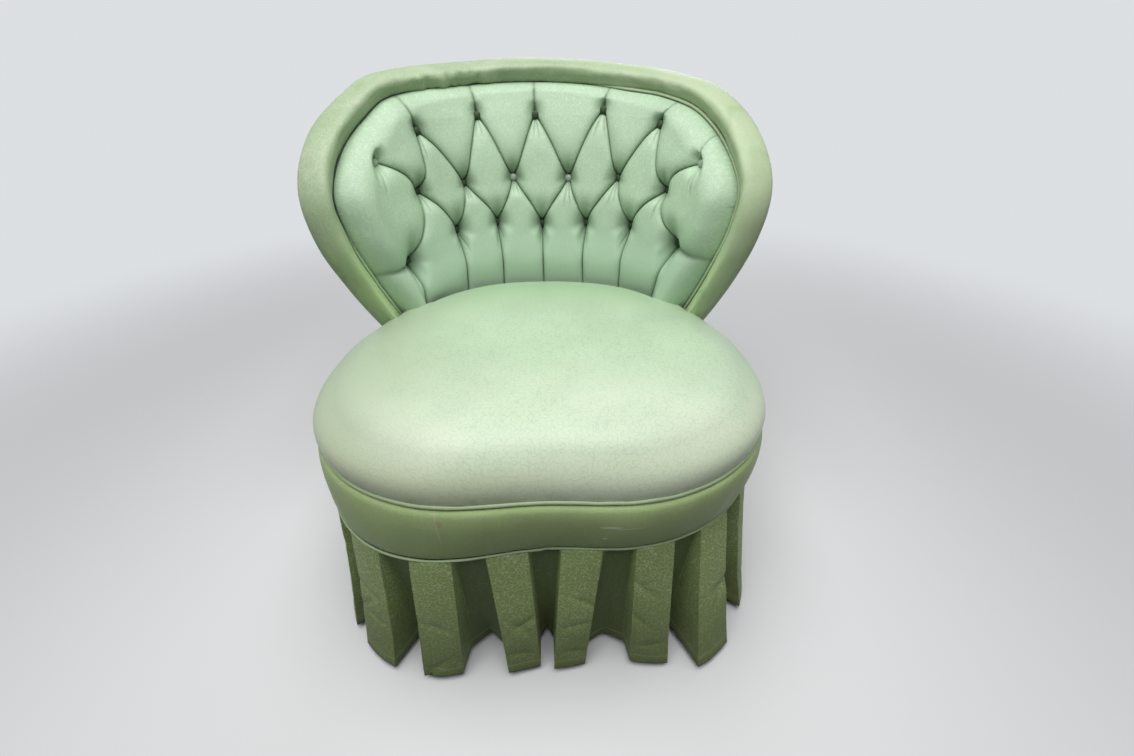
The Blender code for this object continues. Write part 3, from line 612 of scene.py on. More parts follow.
def outline_table():
    """Points and outward normals at even steps round the seat, anticlockwise from the front's middle."""
    turn = np.linspace(0, 2 * pi, OUTLINE_SAMPLES)
    front = np.cos(turn) > 0
    power = 2 / np.where(front, FRONT_ROUNDNESS, REAR_ROUNDNESS)
    x = SEAT_HALF_WIDTH * signed_power(np.sin(turn), power)
    y = -np.where(front, SEAT_FRONT, SEAT_REAR) * signed_power(np.cos(turn), power)
    y = y + np.where(front, FRONT_DIP * bell(x, FRONT_DIP_WIDTH), 0)
    length = np.concatenate([[0], np.cumsum(np.hypot(np.diff(x), np.diff(y)))])
    even = np.linspace(0, length[-1], OUTLINE_POINTS)
    x, y = (np.interp(even, length, values)[:-1] for values in (x, y))
    dx, dy = (np.roll(values, -NORMAL_STEPS) - np.roll(values, NORMAL_STEPS) for values in (x, y))
    size = np.hypot(dx, dy)
    return x, y, dy / size, -dx / size, length[-1]


OUTLINE_X, OUTLINE_Y, OUTLINE_NX, OUTLINE_NY, OUTLINE_LENGTH = outline_table()


def outline(share, grow, height):
    """The point at this share of the way round the seat, moved out by grow."""
    count = len(OUTLINE_X)
    where = (share % 1.0) * count
    first = int(where) % count
    part = where - int(where)
    second = (first + 1) % count

    def mixed(values):
        return values[first] * (1 - part) + values[second] * part

    x = mixed(OUTLINE_X) + grow * mixed(OUTLINE_NX)
    y = mixed(OUTLINE_Y) + grow * mixed(OUTLINE_NY)
    return Vector((x, y, height))


def inward(share, edge, scale, height):
    """The outline's point at this share, moved out by edge and then scaled towards the seat's middle."""
    point = outline(share, edge, height)
    return Vector((point.x * scale, point.y * scale, height))


def seat_tube(name, grow, height, radius, wander, material):
    """A cord round the seat, with a hand-sewn unevenness of about wander."""

    def place(u, v):
        turn = 2 * pi * v
        lift = wander * uneven_round(u, WANDER_WAVES, 1)
        swell = radius * (1 + SWELL_SHARE * uneven_round(u, SWELL_WAVES, 2))
        return outline(u, grow(u) + swell * cos(turn), height(u) + lift + swell * sin(turn))

    def cloth(u, v):
        return u * OUTLINE_LENGTH, v * 2 * pi * radius

    return loft(name, OUTLINE_STEPS, WELT_SIDES, place, cloth, material)


# Back shell


def shell_size(height):
    """Rise over the shell's datum, and the half width and half depth of its ellipse there."""
    rise = height - SHELL_DATUM
    return rise, SHELL_HALF_WIDTH + SHELL_WIDENING * rise, SHELL_HALF_DEPTH + SHELL_DEEPENING * rise


def back_point(angle, height, depth):
    """A point of the back: angle round it, height above the welt, depth forwards of the frame's middle."""
    rise, half_width, half_depth = shell_size(height)
    middle = SHELL_REAR + rise * tan(RECLINE) - half_depth
    normal = Vector((half_depth * sin(angle), half_width * cos(angle))).normalized()
    x = half_width * sin(angle) - depth * normal.x
    y = middle + half_depth * cos(angle) - depth * normal.y
    return Vector((x, y, TOP_WELT_HEIGHT + height))


def arc_per_radian(angle, height):
    rise, half_width, half_depth = shell_size(height)
    return np.hypot(half_width * np.cos(angle), half_depth * np.sin(angle))


def border_table():
    """Angle, height and outward direction along the border's middle line, left foot to right foot."""
    left = [(-angle, height) for angle, height in BORDER_FOOT + LEFT_SHOULDER]
    points = left + [BORDER_CROWN] + list(reversed(BORDER_FOOT + RIGHT_SHOULDER))
    curve = spline([(radians(angle), height) for angle, height in points], BORDER_POINT_STEPS)
    scale = arc_per_radian(curve[:, 0], curve[:, 1])
    along = np.gradient(curve[:, 0]) * scale
    up = np.gradient(curve[:, 1])
    step = np.hypot(along, up)
    length = np.concatenate([[0], np.cumsum((step[1:] + step[:-1]) / 2)])
    return curve[:, 0], curve[:, 1], -up / step, along / step, scale, length / length[-1], length[-1]


B_ANGLE, B_HEIGHT, B_OUT, B_UP, B_SCALE, B_SHARE, BORDER_LENGTH = border_table()
BORDER_WIDEST = float(B_SHARE[int(np.argmin(B_ANGLE))])


def border_place(share, across):
    """Angle and height at this share of the border, moved out from its middle line by across."""
    columns = (B_ANGLE, B_HEIGHT, B_OUT, B_UP, B_SCALE)
    angle, height, out, up, scale = (np.interp(share, B_SHARE, column) for column in columns)
    return angle + across * out / scale, height + across * up


def roll_half(share):
    """Half width of the roll: slim at the top corners, full at the wings, drawn in at the feet."""
    return float(np.interp(abs(2 * share - 1), ROLL_DOWN, ROLL_HALVES))


def roll_front(share):
    """Depth of the roll's front, least at the wings."""
    down = abs(2 * share - 1)
    if down < ROLL_WIDEST:
        return ROLL_FRONT + (ROLL_FRONT_WING - ROLL_FRONT) * smooth(down / ROLL_WIDEST)
    below = (down - ROLL_WIDEST) / (1 - ROLL_WIDEST)
    return ROLL_FRONT_WING + (ROLL_FRONT_FOOT - ROLL_FRONT_WING) * smooth(below)


def share_at_height(height):
    """The share of the border, on the left side, where its middle line reaches this height."""
    half = len(B_SHARE) // 2 + 1
    return float(np.interp(height, B_HEIGHT[:half], B_SHARE[:half]))


FOOT_SHARE = share_at_height(ROLL_FOOT)


def border_share(u):
    """The share of the border at this part of the way from the roll's left foot to its right."""
    return FOOT_SHARE + (1 - 2 * FOOT_SHARE) * u


def edge_line(extra, foot):
    """Angles off the middle and heights of a line extra inside the roll's seat, from foot to crown."""
    shares = np.linspace(foot, 0.5, BORDER_SAMPLES)
    places = [border_place(share, -ROLL_SEAT_SHARE * roll_half(share) - extra) for share in shares]
    angles = np.array([abs(angle) for angle, height in places])
    heights = np.array([height for angle, height in places])
    return angles, heights


def back_panel(name, depth, bottom, extra, thickness, material, run_out=None):
    """A curved sheet of the back from bottom up to the border. run_out(point) may move its points."""
    sides = edge_line(extra, 0.0), edge_line(extra, 1.0)
    reach = min(angles.max() for angles, heights in sides)

    def angle_at(u):
        return reach * sin(pi / 2 * (2 * u - 1))

    def place(u, v):
        angle = angle_at(u)
        angles, heights = sides[0 if angle < 0 else 1]
        widest = int(np.argmax(angles))
        low = max(bottom, float(np.interp(abs(angle), angles[: widest + 1], heights[: widest + 1])))
        top = float(np.interp(abs(angle), angles[widest:][::-1], heights[widest:][::-1]))
        point = back_point(angle, low + (max(top, low) - low) * v, depth)
        return run_out(point) if run_out else point

    def cloth(u, v):
        return angle_at(u) * SHELL_HALF_WIDTH, v * BORDER_CROWN[1]

    return thicken(loft(name, PANEL_COLUMNS, PANEL_ROWS, place, cloth, material), thickness)


# Material helpers


def add_node(tree, kind, inputs=(), **settings):
    """A shader node with its settings, and with its inputs linked or set."""
    made = tree.nodes.new(kind)
    for name, value in settings.items():
        setattr(made, name, value)
    for name, value in dict(inputs).items():
        if isinstance(value, bpy.types.NodeSocket):
            tree.links.new(value, made.inputs[name])
        else:
            made.inputs[name].default_value = value
    return made


def maths(tree, operation, first, second=0.0):
    return add_node(tree, "ShaderNodeMath", {0: first, 1: second}, operation=operation).outputs[0]


def times(tree, first, second):
    return maths(tree, "MULTIPLY", first, second)


def plus(tree, first, second):
    return maths(tree, "ADD", first, second)


def minus(tree, first, second):
    return maths(tree, "SUBTRACT", first, second)


def fade(tree, value, start, end, low=0.0, high=1.0):
    """Runs smoothly from low to high as value goes from start to end."""
    inputs = {"Value": value, "From Min": start, "From Max": end, "To Min": low, "To Max": high}
    return add_node(tree, "ShaderNodeMapRange", inputs, interpolation_type="SMOOTHSTEP").outputs[0]


def mix(tree, share, first, second, blend="MIX"):
    """Goes from the first colour to the second, each a socket or three numbers."""
    colours = [(*colour, 1) if isinstance(colour, tuple) else colour for colour in (first, second)]
    inputs = {0: share, 6: colours[0], 7: colours[1]}
    return add_node(tree, "ShaderNodeMix", inputs, data_type="RGBA", blend_type=blend).outputs[2]


def speckle(tree, place, scale, detail=2.0, stretch=(1, 1, 1), distortion=0.0):
    """Noise about 0.5 at this many features to the metre."""
    moved = add_node(tree, "ShaderNodeMapping", {"Vector": place, "Scale": stretch}).outputs[0]
    inputs = {"Vector": moved, "Scale": scale, "Detail": detail, "Distortion": distortion}
    return add_node(tree, "ShaderNodeTexNoise", inputs).outputs["Fac"]


def split(tree, place):
    """The x, y and z of a place."""
    return add_node(tree, "ShaderNodeSeparateXYZ", {0: place}).outputs


def painted_fold_shade(tree):
    """How much painted shade the mesh puts in a fold or a valley, from 0 to 1."""
    return add_node(tree, "ShaderNodeAttribute", attribute_name="fold").outputs["Fac"]


def coordinates(tree):
    """Place in the frame and place on the cloth."""
    places = add_node(tree, "ShaderNodeTexCoord").outputs
    return places["Object"], places["UV"]


def start_material(name, roughness, metallic=0.0):
    material = bpy.data.materials.new(name)
    material.use_nodes = True
    shader = material.node_tree.nodes["Principled BSDF"]
    shader.inputs["Roughness"].default_value = roughness
    shader.inputs["Metallic"].default_value = metallic
    return material, material.node_tree, shader


def add_bump(tree, shader, relief, strength, distance):
    bump = add_node(tree, "ShaderNodeBump", {"Height": relief, "Strength": strength, "Distance": distance})
    tree.links.new(bump.outputs[0], shader.inputs["Normal"])


# Satin: features to the metre, and the share of each in its tone, gloss and relief
SATIN_ROUGHNESS = 0.46
SATIN_GLOSS = 0.35
SATIN_BUMP = (0.35, 0.0003)
SATIN_SHEEN = 0.6
SATIN_SHEEN_ROUGHNESS = 0.35
SATIN_SHEEN_TINT = (0.85, 1.0, 0.85, 1.0)
SQUIGGLE_SCALE = 172
SQUIGGLE_WARP = 0.25
SQUIGGLE_HALF_LINE = 0.052
SQUIGGLE_EDGE = (0.4, 1.7)
SQUIGGLE_GLOSS = 0.06
SQUIGGLE_RELIEF = 0.6
SLUB_THREADS = (160, 2200, 1)
SLUB_TONES = (0.97, 1.03)
WEAVE_THREADS = (2600, 1300, 1)
THREAD_RELIEF = 0.5
CLOUD_SCALE = 11
CLOUD_TONES = (-0.05, 0.05)
NOISE_SPREAD = (0.3, 0.7)

# Where the covers change colour, from one place to another in the frame
PAD_COOL_SHEEN_Z = (0.54, 0.43)
CORD_SHADE_X = (0.14, 0.06)
CORD_SHADE_Z = (0.46, 0.52)
ROLL_GREEN_Z = (0.56, 0.40)
ROLL_RIGHT_LIGHT_X = (0.05, 0.27)
SEAT_WORN_Y = (-0.08, -0.25)
SEAT_REAR_Y = (-0.05, 0.14)
SEAT_LEFT_X = (-0.05, -0.25)
SEAT_STREAK_Y = (-0.245, -0.27)
SEAT_BROW_HIGHLIGHT_Z = (TOP_WELT_HEIGHT + 0.060, TOP_WELT_HEIGHT + 0.02)
SEAT_RIGHT_HIGHLIGHT_X = (-0.10, 0.05)
SEAT_GRIME_AND_SHADE_Z = (TOP_WELT_HEIGHT + 0.022, TOP_WELT_HEIGHT + 0.003)
SEAT_LESS_GRIME_AND_SHADE_X = (-0.08, 0.10)
SEAT_FIGURE_Y = (-0.12, -0.22)
BAND_MARKS_Y = (-0.15, -0.17)
SKIRT_HEM_SHADE_Z = (0.20, 0.03)
HEM_SEAM_REACH = (0.0006, 0.0022)
HEM_EDGE_REACH = (0.0110, 0.0095)

# Colours that wear and dust give the covers, with painted shade, painted highlights and a painted cool
# sheen
PAD_COOL_SHEEN = (0.48, 0.65, 0.49)
PAD_FOLD_SHADE = (0.040, 0.085, 0.030)
CORD_SHADE = (0.030, 0.055, 0.025)
ROLL_GREEN = (0.52, 0.72, 0.35)
ROLL_RIGHT_LIGHT = (0.49, 0.60, 0.37)
ROLL_RUBBED = (0.50, 0.55, 0.40)
ROLL_HANDLED = (0.27, 0.36, 0.19)
SEAT_WORN = (0.71, 0.77, 0.62)
SEAT_REAR_SHADE = (0.355, 0.505, 0.300)
SEAT_LEFT_SHADE = (0.40, 0.485, 0.33)
SEAT_STREAK = (0.74, 0.76, 0.66)
SEAT_BROW_HIGHLIGHT = (0.74, 0.83, 0.56)
SEAT_RIGHT_HIGHLIGHT = (0.87, 0.99, 0.75)
SEAT_GRIME_AND_SHADE = (0.33, 0.40, 0.19)
SEAT_FIGURE = (0.42, 0.53, 0.36)
BAND_LOW_SHADE = (0.27, 0.37, 0.12)
BAND_STREAK = (0.50, 0.56, 0.34)
SKIRT_VALLEY_SHADE = (0.070, 0.106, 0.033)
SKIRT_HEM_SHADE = (0.135, 0.170, 0.062)
HEM_SEAM = (0.46, 0.54, 0.30)
HEM_EDGE = (0.10, 0.12, 0.045)

# Marks on the front of the band: middle and half size in x and z, raggedness, strength, colour
BAND_MARKS = (
    ((-0.107, 0.309), (0.0012, 0.030), 0.0004, 0.55, (0.72, 0.66, 0.56)),
    ((-0.104, 0.317), (0.0040, 0.0055), 0.0020, 0.50, (0.50, 0.36, 0.22)),
    ((0.070, 0.3040), (0.015, 0.0022), 0.0030, 1.00, (0.82, 0.84, 0.72)),
    ((0.092, 0.3010), (0.022, 0.0012), 0.0030, 0.80, (0.76, 0.80, 0.64)),
    ((0.065, 0.2820), (0.0026, 0.0022), 0.0006, 1.00, (0.84, 0.84, 0.74)),
    ((0.044, 0.2930), (0.0008, 0.012), 0.0003, 0.45, (0.70, 0.72, 0.55)),
)
MARK_GRAIN = 420

# Wood: colours, and features to the metre along each axis
BEECH_DARK = (0.36, 0.22, 0.11)
BEECH_LIGHT = (0.58, 0.41, 0.24)
BEECH_FLECK = (0.27, 0.15, 0.07)
BEECH_GRAIN = (90, 90, 7)
BEECH_FLECKS = (700, 700, 60)

# Metals: colour, roughness and tarnish
NICKEL = ((0.62, 0.61, 0.58), 0.25, (0.40, 0.37, 0.33))
SPRING_STEEL = ((0.30, 0.30, 0.31), 0.35, (0.20, 0.15, 0.11))

# Plain cloths: light and dark of their threads, and threads to the metre
HESSIAN = ((0.52, 0.40, 0.24), (0.22, 0.16, 0.09), 700)
CAMBRIC = ((0.035, 0.035, 0.035), (0.012, 0.012, 0.012), 1600)


def squiggle_line(tree, cloth):
    """The woven figure: one fine meandering line, as a mask."""
    inputs = {"Vector": cloth, "Scale": SQUIGGLE_SCALE, "Detail": 0.0, "Distortion": SQUIGGLE_WARP}
    field = add_node(tree, "ShaderNodeTexNoise", inputs, noise_dimensions="2D").outputs["Fac"]
    off_line = maths(tree, "ABSOLUTE", minus(tree, field, 0.5))
    start, end = (share * SQUIGGLE_HALF_LINE for share in SQUIGGLE_EDGE)
    return fade(tree, off_line, start, end, 1.0, 0.0)


def make_satin(name, ground, figure, shade_of, roughness=SATIN_ROUGHNESS, gloss=SATIN_GLOSS):
    """Satin with the woven figure. shade_of(tree, place, cloth, colour) adds what is special to it."""
    material, tree, shader = start_material(name, roughness)
    place, cloth = coordinates(tree)
    line = squiggle_line(tree, cloth)
    slub = speckle(tree, cloth, 1.0, 2.0, SLUB_THREADS)
    weave = speckle(tree, cloth, 1.0, 1.0, WEAVE_THREADS)
    cloud = fade(tree, speckle(tree, place, CLOUD_SCALE, 4.0), *NOISE_SPREAD, *CLOUD_TONES)
    colour = mix(tree, line, ground, figure)
    tone = plus(tree, cloud, fade(tree, slub, *NOISE_SPREAD, *SLUB_TONES))
    colour = mix(tree, 1.0, colour, tone, "MULTIPLY")
    if shade_of:
        colour = shade_of(tree, place, cloth, colour)
    tree.links.new(colour, shader.inputs["Base Color"])
    rough = minus(tree, plus(tree, cloud, roughness), times(tree, line, SQUIGGLE_GLOSS))
    tree.links.new(rough, shader.inputs["Roughness"])
    relief = plus(tree, times(tree, line, SQUIGGLE_RELIEF), times(tree, weave, THREAD_RELIEF))
    relief = plus(tree, relief, times(tree, slub, THREAD_RELIEF))
    add_bump(tree, shader, relief, *SATIN_BUMP)
    shader.inputs["Sheen Weight"].default_value = SATIN_SHEEN * gloss
    shader.inputs["Sheen Roughness"].default_value = SATIN_SHEEN_ROUGHNESS
    shader.inputs["Sheen Tint"].default_value = SATIN_SHEEN_TINT
    shader.inputs["Specular IOR Level"].default_value = gloss
    return material


def shade_folds(tree, place, cloth, colour):
    """Painted shade deep in the folds and pits of the tufting, and a paler, cooler painted sheen towards
    the pad's foot.
    """
    height = split(tree, place)["Z"]
    # a paler, cooler painted sheen towards the pad's foot
    colour = mix(tree, fade(tree, height, *PAD_COOL_SHEEN_Z, 0.0, 0.6), colour, PAD_COOL_SHEEN)
    # painted shade in the folds, creases and pits, as the mesh gives it
    return mix(tree, times(tree, painted_fold_shade(tree), 0.85), colour, PAD_FOLD_SHADE)


def shade_cord(tree, place, cloth, colour):
    """Painted shadow where the roll hangs over the cord, along the top and down the left wing."""
    x, y, z = split(tree, place)
    over = times(tree, fade(tree, x, *CORD_SHADE_X), fade(tree, z, *CORD_SHADE_Z))
    # painted shadow of the overhanging roll
    return mix(tree, over, colour, CORD_SHADE)


def shade_roll(tree, place, cloth, colour):
    """Blotched by handling, greener towards the feet, and paler at the right with painted light."""
    x, y, z = split(tree, place)
    colour = mix(tree, fade(tree, z, *ROLL_GREEN_Z, 0.0, 0.9), colour, ROLL_GREEN)
    # painted light on the right of the roll
    colour = mix(tree, fade(tree, x, *ROLL_RIGHT_LIGHT_X, 0.0, 0.6), colour, ROLL_RIGHT_LIGHT)
    blotch = speckle(tree, place, 24, 5.0, distortion=0.7)
    colour = mix(tree, fade(tree, blotch, 0.48, 0.68, 0.0, 0.40), colour, ROLL_RUBBED)
    return mix(tree, fade(tree, blotch, 0.46, 0.30, 0.0, 0.30), colour, ROLL_HANDLED)


def shade_seat(tree, place, cloth, colour):
    """Worn pale to the front, with a painted highlight on its brow strongest at its right, painted shade at
    the rear and left, and grubby with painted shade beside the welt, less at the right.
    """
    x, y, z = split(tree, place)
    patch = speckle(tree, place, 7, 5.0, distortion=0.4)
    front = fade(tree, y, *SEAT_WORN_Y)
    worn = times(tree, front, fade(tree, patch, 0.35, 0.65, 0.35, 0.8))
    colour = mix(tree, worn, colour, SEAT_WORN)
    # painted shade at the rear beside the back, and on the left away from the light
    colour = mix(tree, fade(tree, y, *SEAT_REAR_Y, 0.0, 0.85), colour, SEAT_REAR_SHADE)
    colour = mix(tree, fade(tree, x, *SEAT_LEFT_X, 0.0, 0.75), colour, SEAT_LEFT_SHADE)
    streaks = fade(tree, speckle(tree, place, 1.0, 3.0, (240, 12, 12)), 0.64, 0.76, 0.0, 0.40)
    streaks = times(tree, streaks, fade(tree, y, *SEAT_STREAK_Y))
    colour = mix(tree, streaks, colour, SEAT_STREAK)
    # painted highlight on the front face of the seat, strongest at its right
    brow = times(tree, front, fade(tree, z, *SEAT_BROW_HIGHLIGHT_Z, 0.0, 0.8))
    colour = mix(tree, brow, colour, SEAT_BROW_HIGHLIGHT)
    right_highlight = times(tree, brow, fade(tree, x, *SEAT_RIGHT_HIGHLIGHT_X, 0.0, 0.95))
    colour = mix(tree, right_highlight, colour, SEAT_RIGHT_HIGHLIGHT)
    # mottled dirt with painted shade beside the welt, less at the right where the light falls
    grime_and_shade = fade(tree, speckle(tree, place, 38, 6.0, distortion=0.6), 0.42, 0.70, 0.15, 0.50)
    grime_and_shade = times(tree, grime_and_shade, fade(tree, z, *SEAT_GRIME_AND_SHADE_Z))
    grime_and_shade = times(tree, grime_and_shade, fade(tree, x, *SEAT_LESS_GRIME_AND_SHADE_X, 1.0, 0.3))
    colour = mix(tree, grime_and_shade, colour, SEAT_GRIME_AND_SHADE)
    figure = times(tree, squiggle_line(tree, cloth), fade(tree, y, *SEAT_FIGURE_Y, 0.0, 0.17))
    return mix(tree, figure, colour, SEAT_FIGURE)


def band_mark(tree, place, middle, reach, wobble):
    """A soft-edged mark on the front of the chair: middle and half size in x and z."""
    x, y, z = split(tree, place)
    ragged = fade(tree, speckle(tree, place, MARK_GRAIN, 3.0), *NOISE_SPREAD, -wobble, wobble)
    across = plus(tree, minus(tree, x, middle[0]), ragged)
    up = minus(tree, z, middle[1])
    across = maths(tree, "POWER", maths(tree, "DIVIDE", across, reach[0]), 2.0)
    up = maths(tree, "POWER", maths(tree, "DIVIDE", up, reach[1]), 2.0)
    on_mark = fade(tree, plus(tree, across, up), 0.2, 1.0, 1.0, 0.0)
    return times(tree, on_mark, fade(tree, y, *BAND_MARKS_Y))


def shade_band(tree, place, cloth, colour):
    """Painted shade towards the skirt, with faint upright streaks, scuffs and a rubbed line across the
    front.
    """
    height = split(tree, place)["Z"]
    # painted shade towards the skirt
    colour = mix(tree, fade(tree, height, BAND_TOP, BAND_BOTTOM, 0.0, 0.45), colour, BAND_LOW_SHADE)
    streak = speckle(tree, cloth, 1.0, 3.0, (150, 9, 1))
    colour = mix(tree, fade(tree, streak, 0.50, 0.72, 0.0, 0.22), colour, BAND_STREAK)
    for middle, reach, wobble, strength, tint in BAND_MARKS:
        seen = times(tree, band_mark(tree, place, middle, reach, wobble), strength)
        colour = mix(tree, seen, colour, tint)
    return colour


def shade_skirt(tree, place, cloth, colour):
    """Painted shade between the tabs and towards the hem, with a pale line where the hem is sewn."""
    height = split(tree, place)["Z"]
    down = split(tree, cloth)["Y"]
    # painted shade in the valleys between the tabs and towards the hem
    colour = mix(tree, times(tree, painted_fold_shade(tree), 0.82), colour, SKIRT_VALLEY_SHADE)
    colour = mix(tree, fade(tree, height, *SKIRT_HEM_SHADE_Z, 0.0, 0.62), colour, SKIRT_HEM_SHADE)
    off_seam = maths(tree, "ABSOLUTE", minus(tree, down, HEM_DEPTH))
    colour = mix(tree, fade(tree, off_seam, *HEM_SEAM_REACH, 0.40, 0.0), colour, HEM_SEAM)
    return mix(tree, fade(tree, down, *HEM_EDGE_REACH, 0.0, 0.25), colour, HEM_EDGE)


def make_satins():
    """The satin of each cover: ground, woven figure, what is special to it, then roughness and gloss."""
    finishes = {
        "seat": ((0.49, 0.63, 0.435), (0.42, 0.555, 0.405), shade_seat),
        "band": ((0.465, 0.61, 0.275), (0.50, 0.64, 0.305), shade_band, SATIN_ROUGHNESS, 0.12),
        "skirt": ((0.378, 0.505, 0.193), (0.61, 0.715, 0.395), shade_skirt, 0.55, 0.08),
        "pad": ((0.420, 0.570, 0.395), (0.480, 0.630, 0.450), shade_folds),
        "roll": ((0.345, 0.445, 0.270), (0.405, 0.510, 0.325), shade_roll),
        "welt": ((0.39, 0.50, 0.29), (0.42, 0.53, 0.315), None),
        "cord": ((0.39, 0.50, 0.30), (0.42, 0.53, 0.325), shade_cord),
        "button": ((0.40, 0.48, 0.39), (0.42, 0.50, 0.41), None),
        # a darker copy of the button satin: painted shade on the buttons sunk in the pits
        "shadow_painted_button": ((0.055, 0.09, 0.045), (0.06, 0.095, 0.05), None, SATIN_ROUGHNESS, 0.1),
    }
    return {cover: make_satin(f"{cover}_satin", *finish) for cover, finish in finishes.items()}


def make_wood():
    material, tree, shader = start_material("beech", 0.55)
    place, cloth = coordinates(tree)
    grain = speckle(tree, place, 1.0, 4.0, BEECH_GRAIN, 0.6)
    fleck = speckle(tree, place, 1.0, 2.0, BEECH_FLECKS)
    colour = mix(tree, fade(tree, grain, *NOISE_SPREAD), BEECH_DARK, BEECH_LIGHT)
    colour = mix(tree, fade(tree, fleck, 0.58, 0.70, 0.0, 0.5), colour, BEECH_FLECK)
    tree.links.new(colour, shader.inputs["Base Color"])
    add_bump(tree, shader, grain, 0.2, 0.0005)
    return material


def make_metal(name, colour, roughness, tarnish):
    material, tree, shader = start_material(name, roughness, 1.0)
    place, cloth = coordinates(tree)
    patch = speckle(tree, place, 140, 4.0)
    shaded = mix(tree, fade(tree, patch, 0.45, 0.7), colour, tarnish)
    tree.links.new(shaded, shader.inputs["Base Color"])
    rough = fade(tree, patch, *NOISE_SPREAD, roughness, roughness + 0.2)
    tree.links.new(rough, shader.inputs["Roughness"])
    return material


def make_plain_weave(name, light, dark, threads):
    """Plain cloth of crossing threads, this many to the metre."""
    material, tree, shader = start_material(name, 0.9)
    place, cloth = coordinates(tree)
    inputs = {"Vector": cloth, "Scale": threads / 3.14, "Distortion": 0.4, "Detail": 1.0}
    warp = add_node(tree, "ShaderNodeTexWave", inputs, bands_direction="X").outputs["Fac"]
    weft = add_node(tree, "ShaderNodeTexWave", inputs, bands_direction="Y").outputs["Fac"]
    threads_up = times(tree, warp, weft)
    tree.links.new(mix(tree, threads_up, dark, light), shader.inputs["Base Color"])
    add_bump(tree, shader, threads_up, 0.5, 0.0004)
    return material


# Seat


def rear_limit(share):
    """How much of a spoke towards this share of the outline is free before it meets the pad or the roll."""
    edge = outline(share, 0, 0)
    if edge.y <= 0:
        return 1.0
    angle, height = border_place(FOOT_SHARE, ROLL_HALF_FOOT)
    wing = back_point(angle, height, ROLL_FRONT).y - LAYER_GAP
    scales = np.linspace(0, 1, SPOKE_SAMPLES)
    half_width = SHELL_HALF_WIDTH - SEAT_REAR_DEPTH
    half_depth = SHELL_HALF_DEPTH - SEAT_REAR_DEPTH
    middle = SHELL_REAR - SHELL_HALF_DEPTH
    x, y = abs(edge.x) * scales, edge.y * scales
    inside = np.hypot(x / half_width, (y - middle) / half_depth) < 1
    notch = NOTCH_DEPTH * smooth((NOTCH_SIDE - x) / NOTCH_SOFTNESS)
    before_wing = y < wing + notch + BESIDE_ROLL * np.maximum(x - NOTCH_SIDE, 0)
    return float(scales[inside | before_wing].max())


def crown(scale, edge_y):
    """Height of the crown on the spoke to an edge at this y: full at the front, falling to the rear."""
    flatness = CROWN_FLATNESS + (CROWN_REAR_FLATNESS - CROWN_FLATNESS) * ease(edge_y, *CROWN_REAR_RUN)
    flatness += CROWN_FRONT_GAIN * ease(-edge_y, *CROWN_FRONT_RUN)
    sink = REAR_SINK * ease(edge_y * scale, *REAR_SINK_RUN)
    return CROWN_RISE * (1 - min(scale, 1.0) ** flatness) ** CROWN_SHOULDER * (1 - sink)


def overhang(share, edge_y, rise):
    """How far the cushion bulges over its welt, most at the sides and about a third of the way up."""
    most = FRONT_OVERHANG + (SIDE_OVERHANG - FRONT_OVERHANG) * sin(2 * pi * share) ** 2
    level = min(max(rise / CROWN_RISE, 0.0) / OVERHANG_TOP, 1.0)
    return most * sin(pi * level) * (1 - float(ease(edge_y, *OVERHANG_END_RUN)))


def make_seat(satin):
    """Crowned pull-over seat with the small puckers that the welt's stitches draw into its edge."""
    rings = CROWN_RINGS + len(UNDERSIDE_RINGS)
    ring_scale = np.sin(np.linspace(0, pi / 2, CROWN_RINGS + 1)) ** RING_CROWDING
    limits = [rear_limit(k / OUTLINE_STEPS) for k in range(OUTLINE_STEPS + 1)]

    def place(u, v):
        limit = limits[round(u * OUTLINE_STEPS)]
        ring = round(v * rings)
        if ring > CROWN_RINGS:
            scale = UNDERSIDE_RINGS[ring - CROWN_RINGS - 1] * limit
            height = RAIL_TOP + CUSHION_FLOOR * (1 - scale**2) + UNDERSIDE_LIFT
            return inward(u, -BAND_THICKNESS, scale, height)
        scale = ring_scale[ring] * limit
        edge = outline(u, 0, 0)
        rise = crown(scale, edge.y)
        pucker = PUCKER_DEPTH * ease(scale, *PUCKER_RUN) * smooth(1 - edge.y / PUCKER_END)
        rise += pucker * uneven(PUCKER_WAVES * edge.x, PUCKER_WAVES * edge.y, 3)
        lump = LUMP_HEIGHT * smooth((1 - scale) * LUMP_EDGE)
        rise += lump * uneven(LUMP_WAVES * edge.x * scale, LUMP_WAVES * edge.y * scale, 4)
        return inward(u, overhang(u, edge.y, rise) - LAYER_GAP, scale, CROWN_EDGE + rise)

    def runs_out(column):
        """Length along the cover from the middle of the seat to each ring."""
        edge = outline(column / OUTLINE_STEPS, 0, 0)
        scales = ring_scale * limits[column]
        heights = [crown(scale, edge.y) for scale in scales]
        return np.concatenate([[0], np.cumsum(np.hypot(np.diff(scales) * edge.length, np.diff(heights)))])

    runs = [runs_out(column) for column in range(OUTLINE_STEPS + 1)]

    def cloth(u, v):
        edge = outline(u, 0, 0).normalized()
        run = runs[round(u * OUTLINE_STEPS)][min(round(v * rings), CROWN_RINGS)]
        return edge.x * run, edge.y * run

    seat = loft("seat", OUTLINE_STEPS, rings, place, cloth, satin)
    return stand_for(seat, "satin", "seat_cushion")


def at_left(share):
    """1 at the left of the seat's front, falling away to 0 on both sides."""
    return float(bell(share % 1.0 - LEFT_MIDDLE, LEFT_REACH))


def band_inset(share):
    """How far the band's lower edge lies inside the outline: less at the front's fuller left."""
    at_side = sin(2 * pi * share) ** 2
    return BAND_INSET * (1 - at_side) - LEFT_FULLNESS * at_left(share)


def band_foot(share):
    """Height of the band's lower edge, which hangs a little at the left of the front."""
    return BAND_BOTTOM - LEFT_DROP * at_left(share)


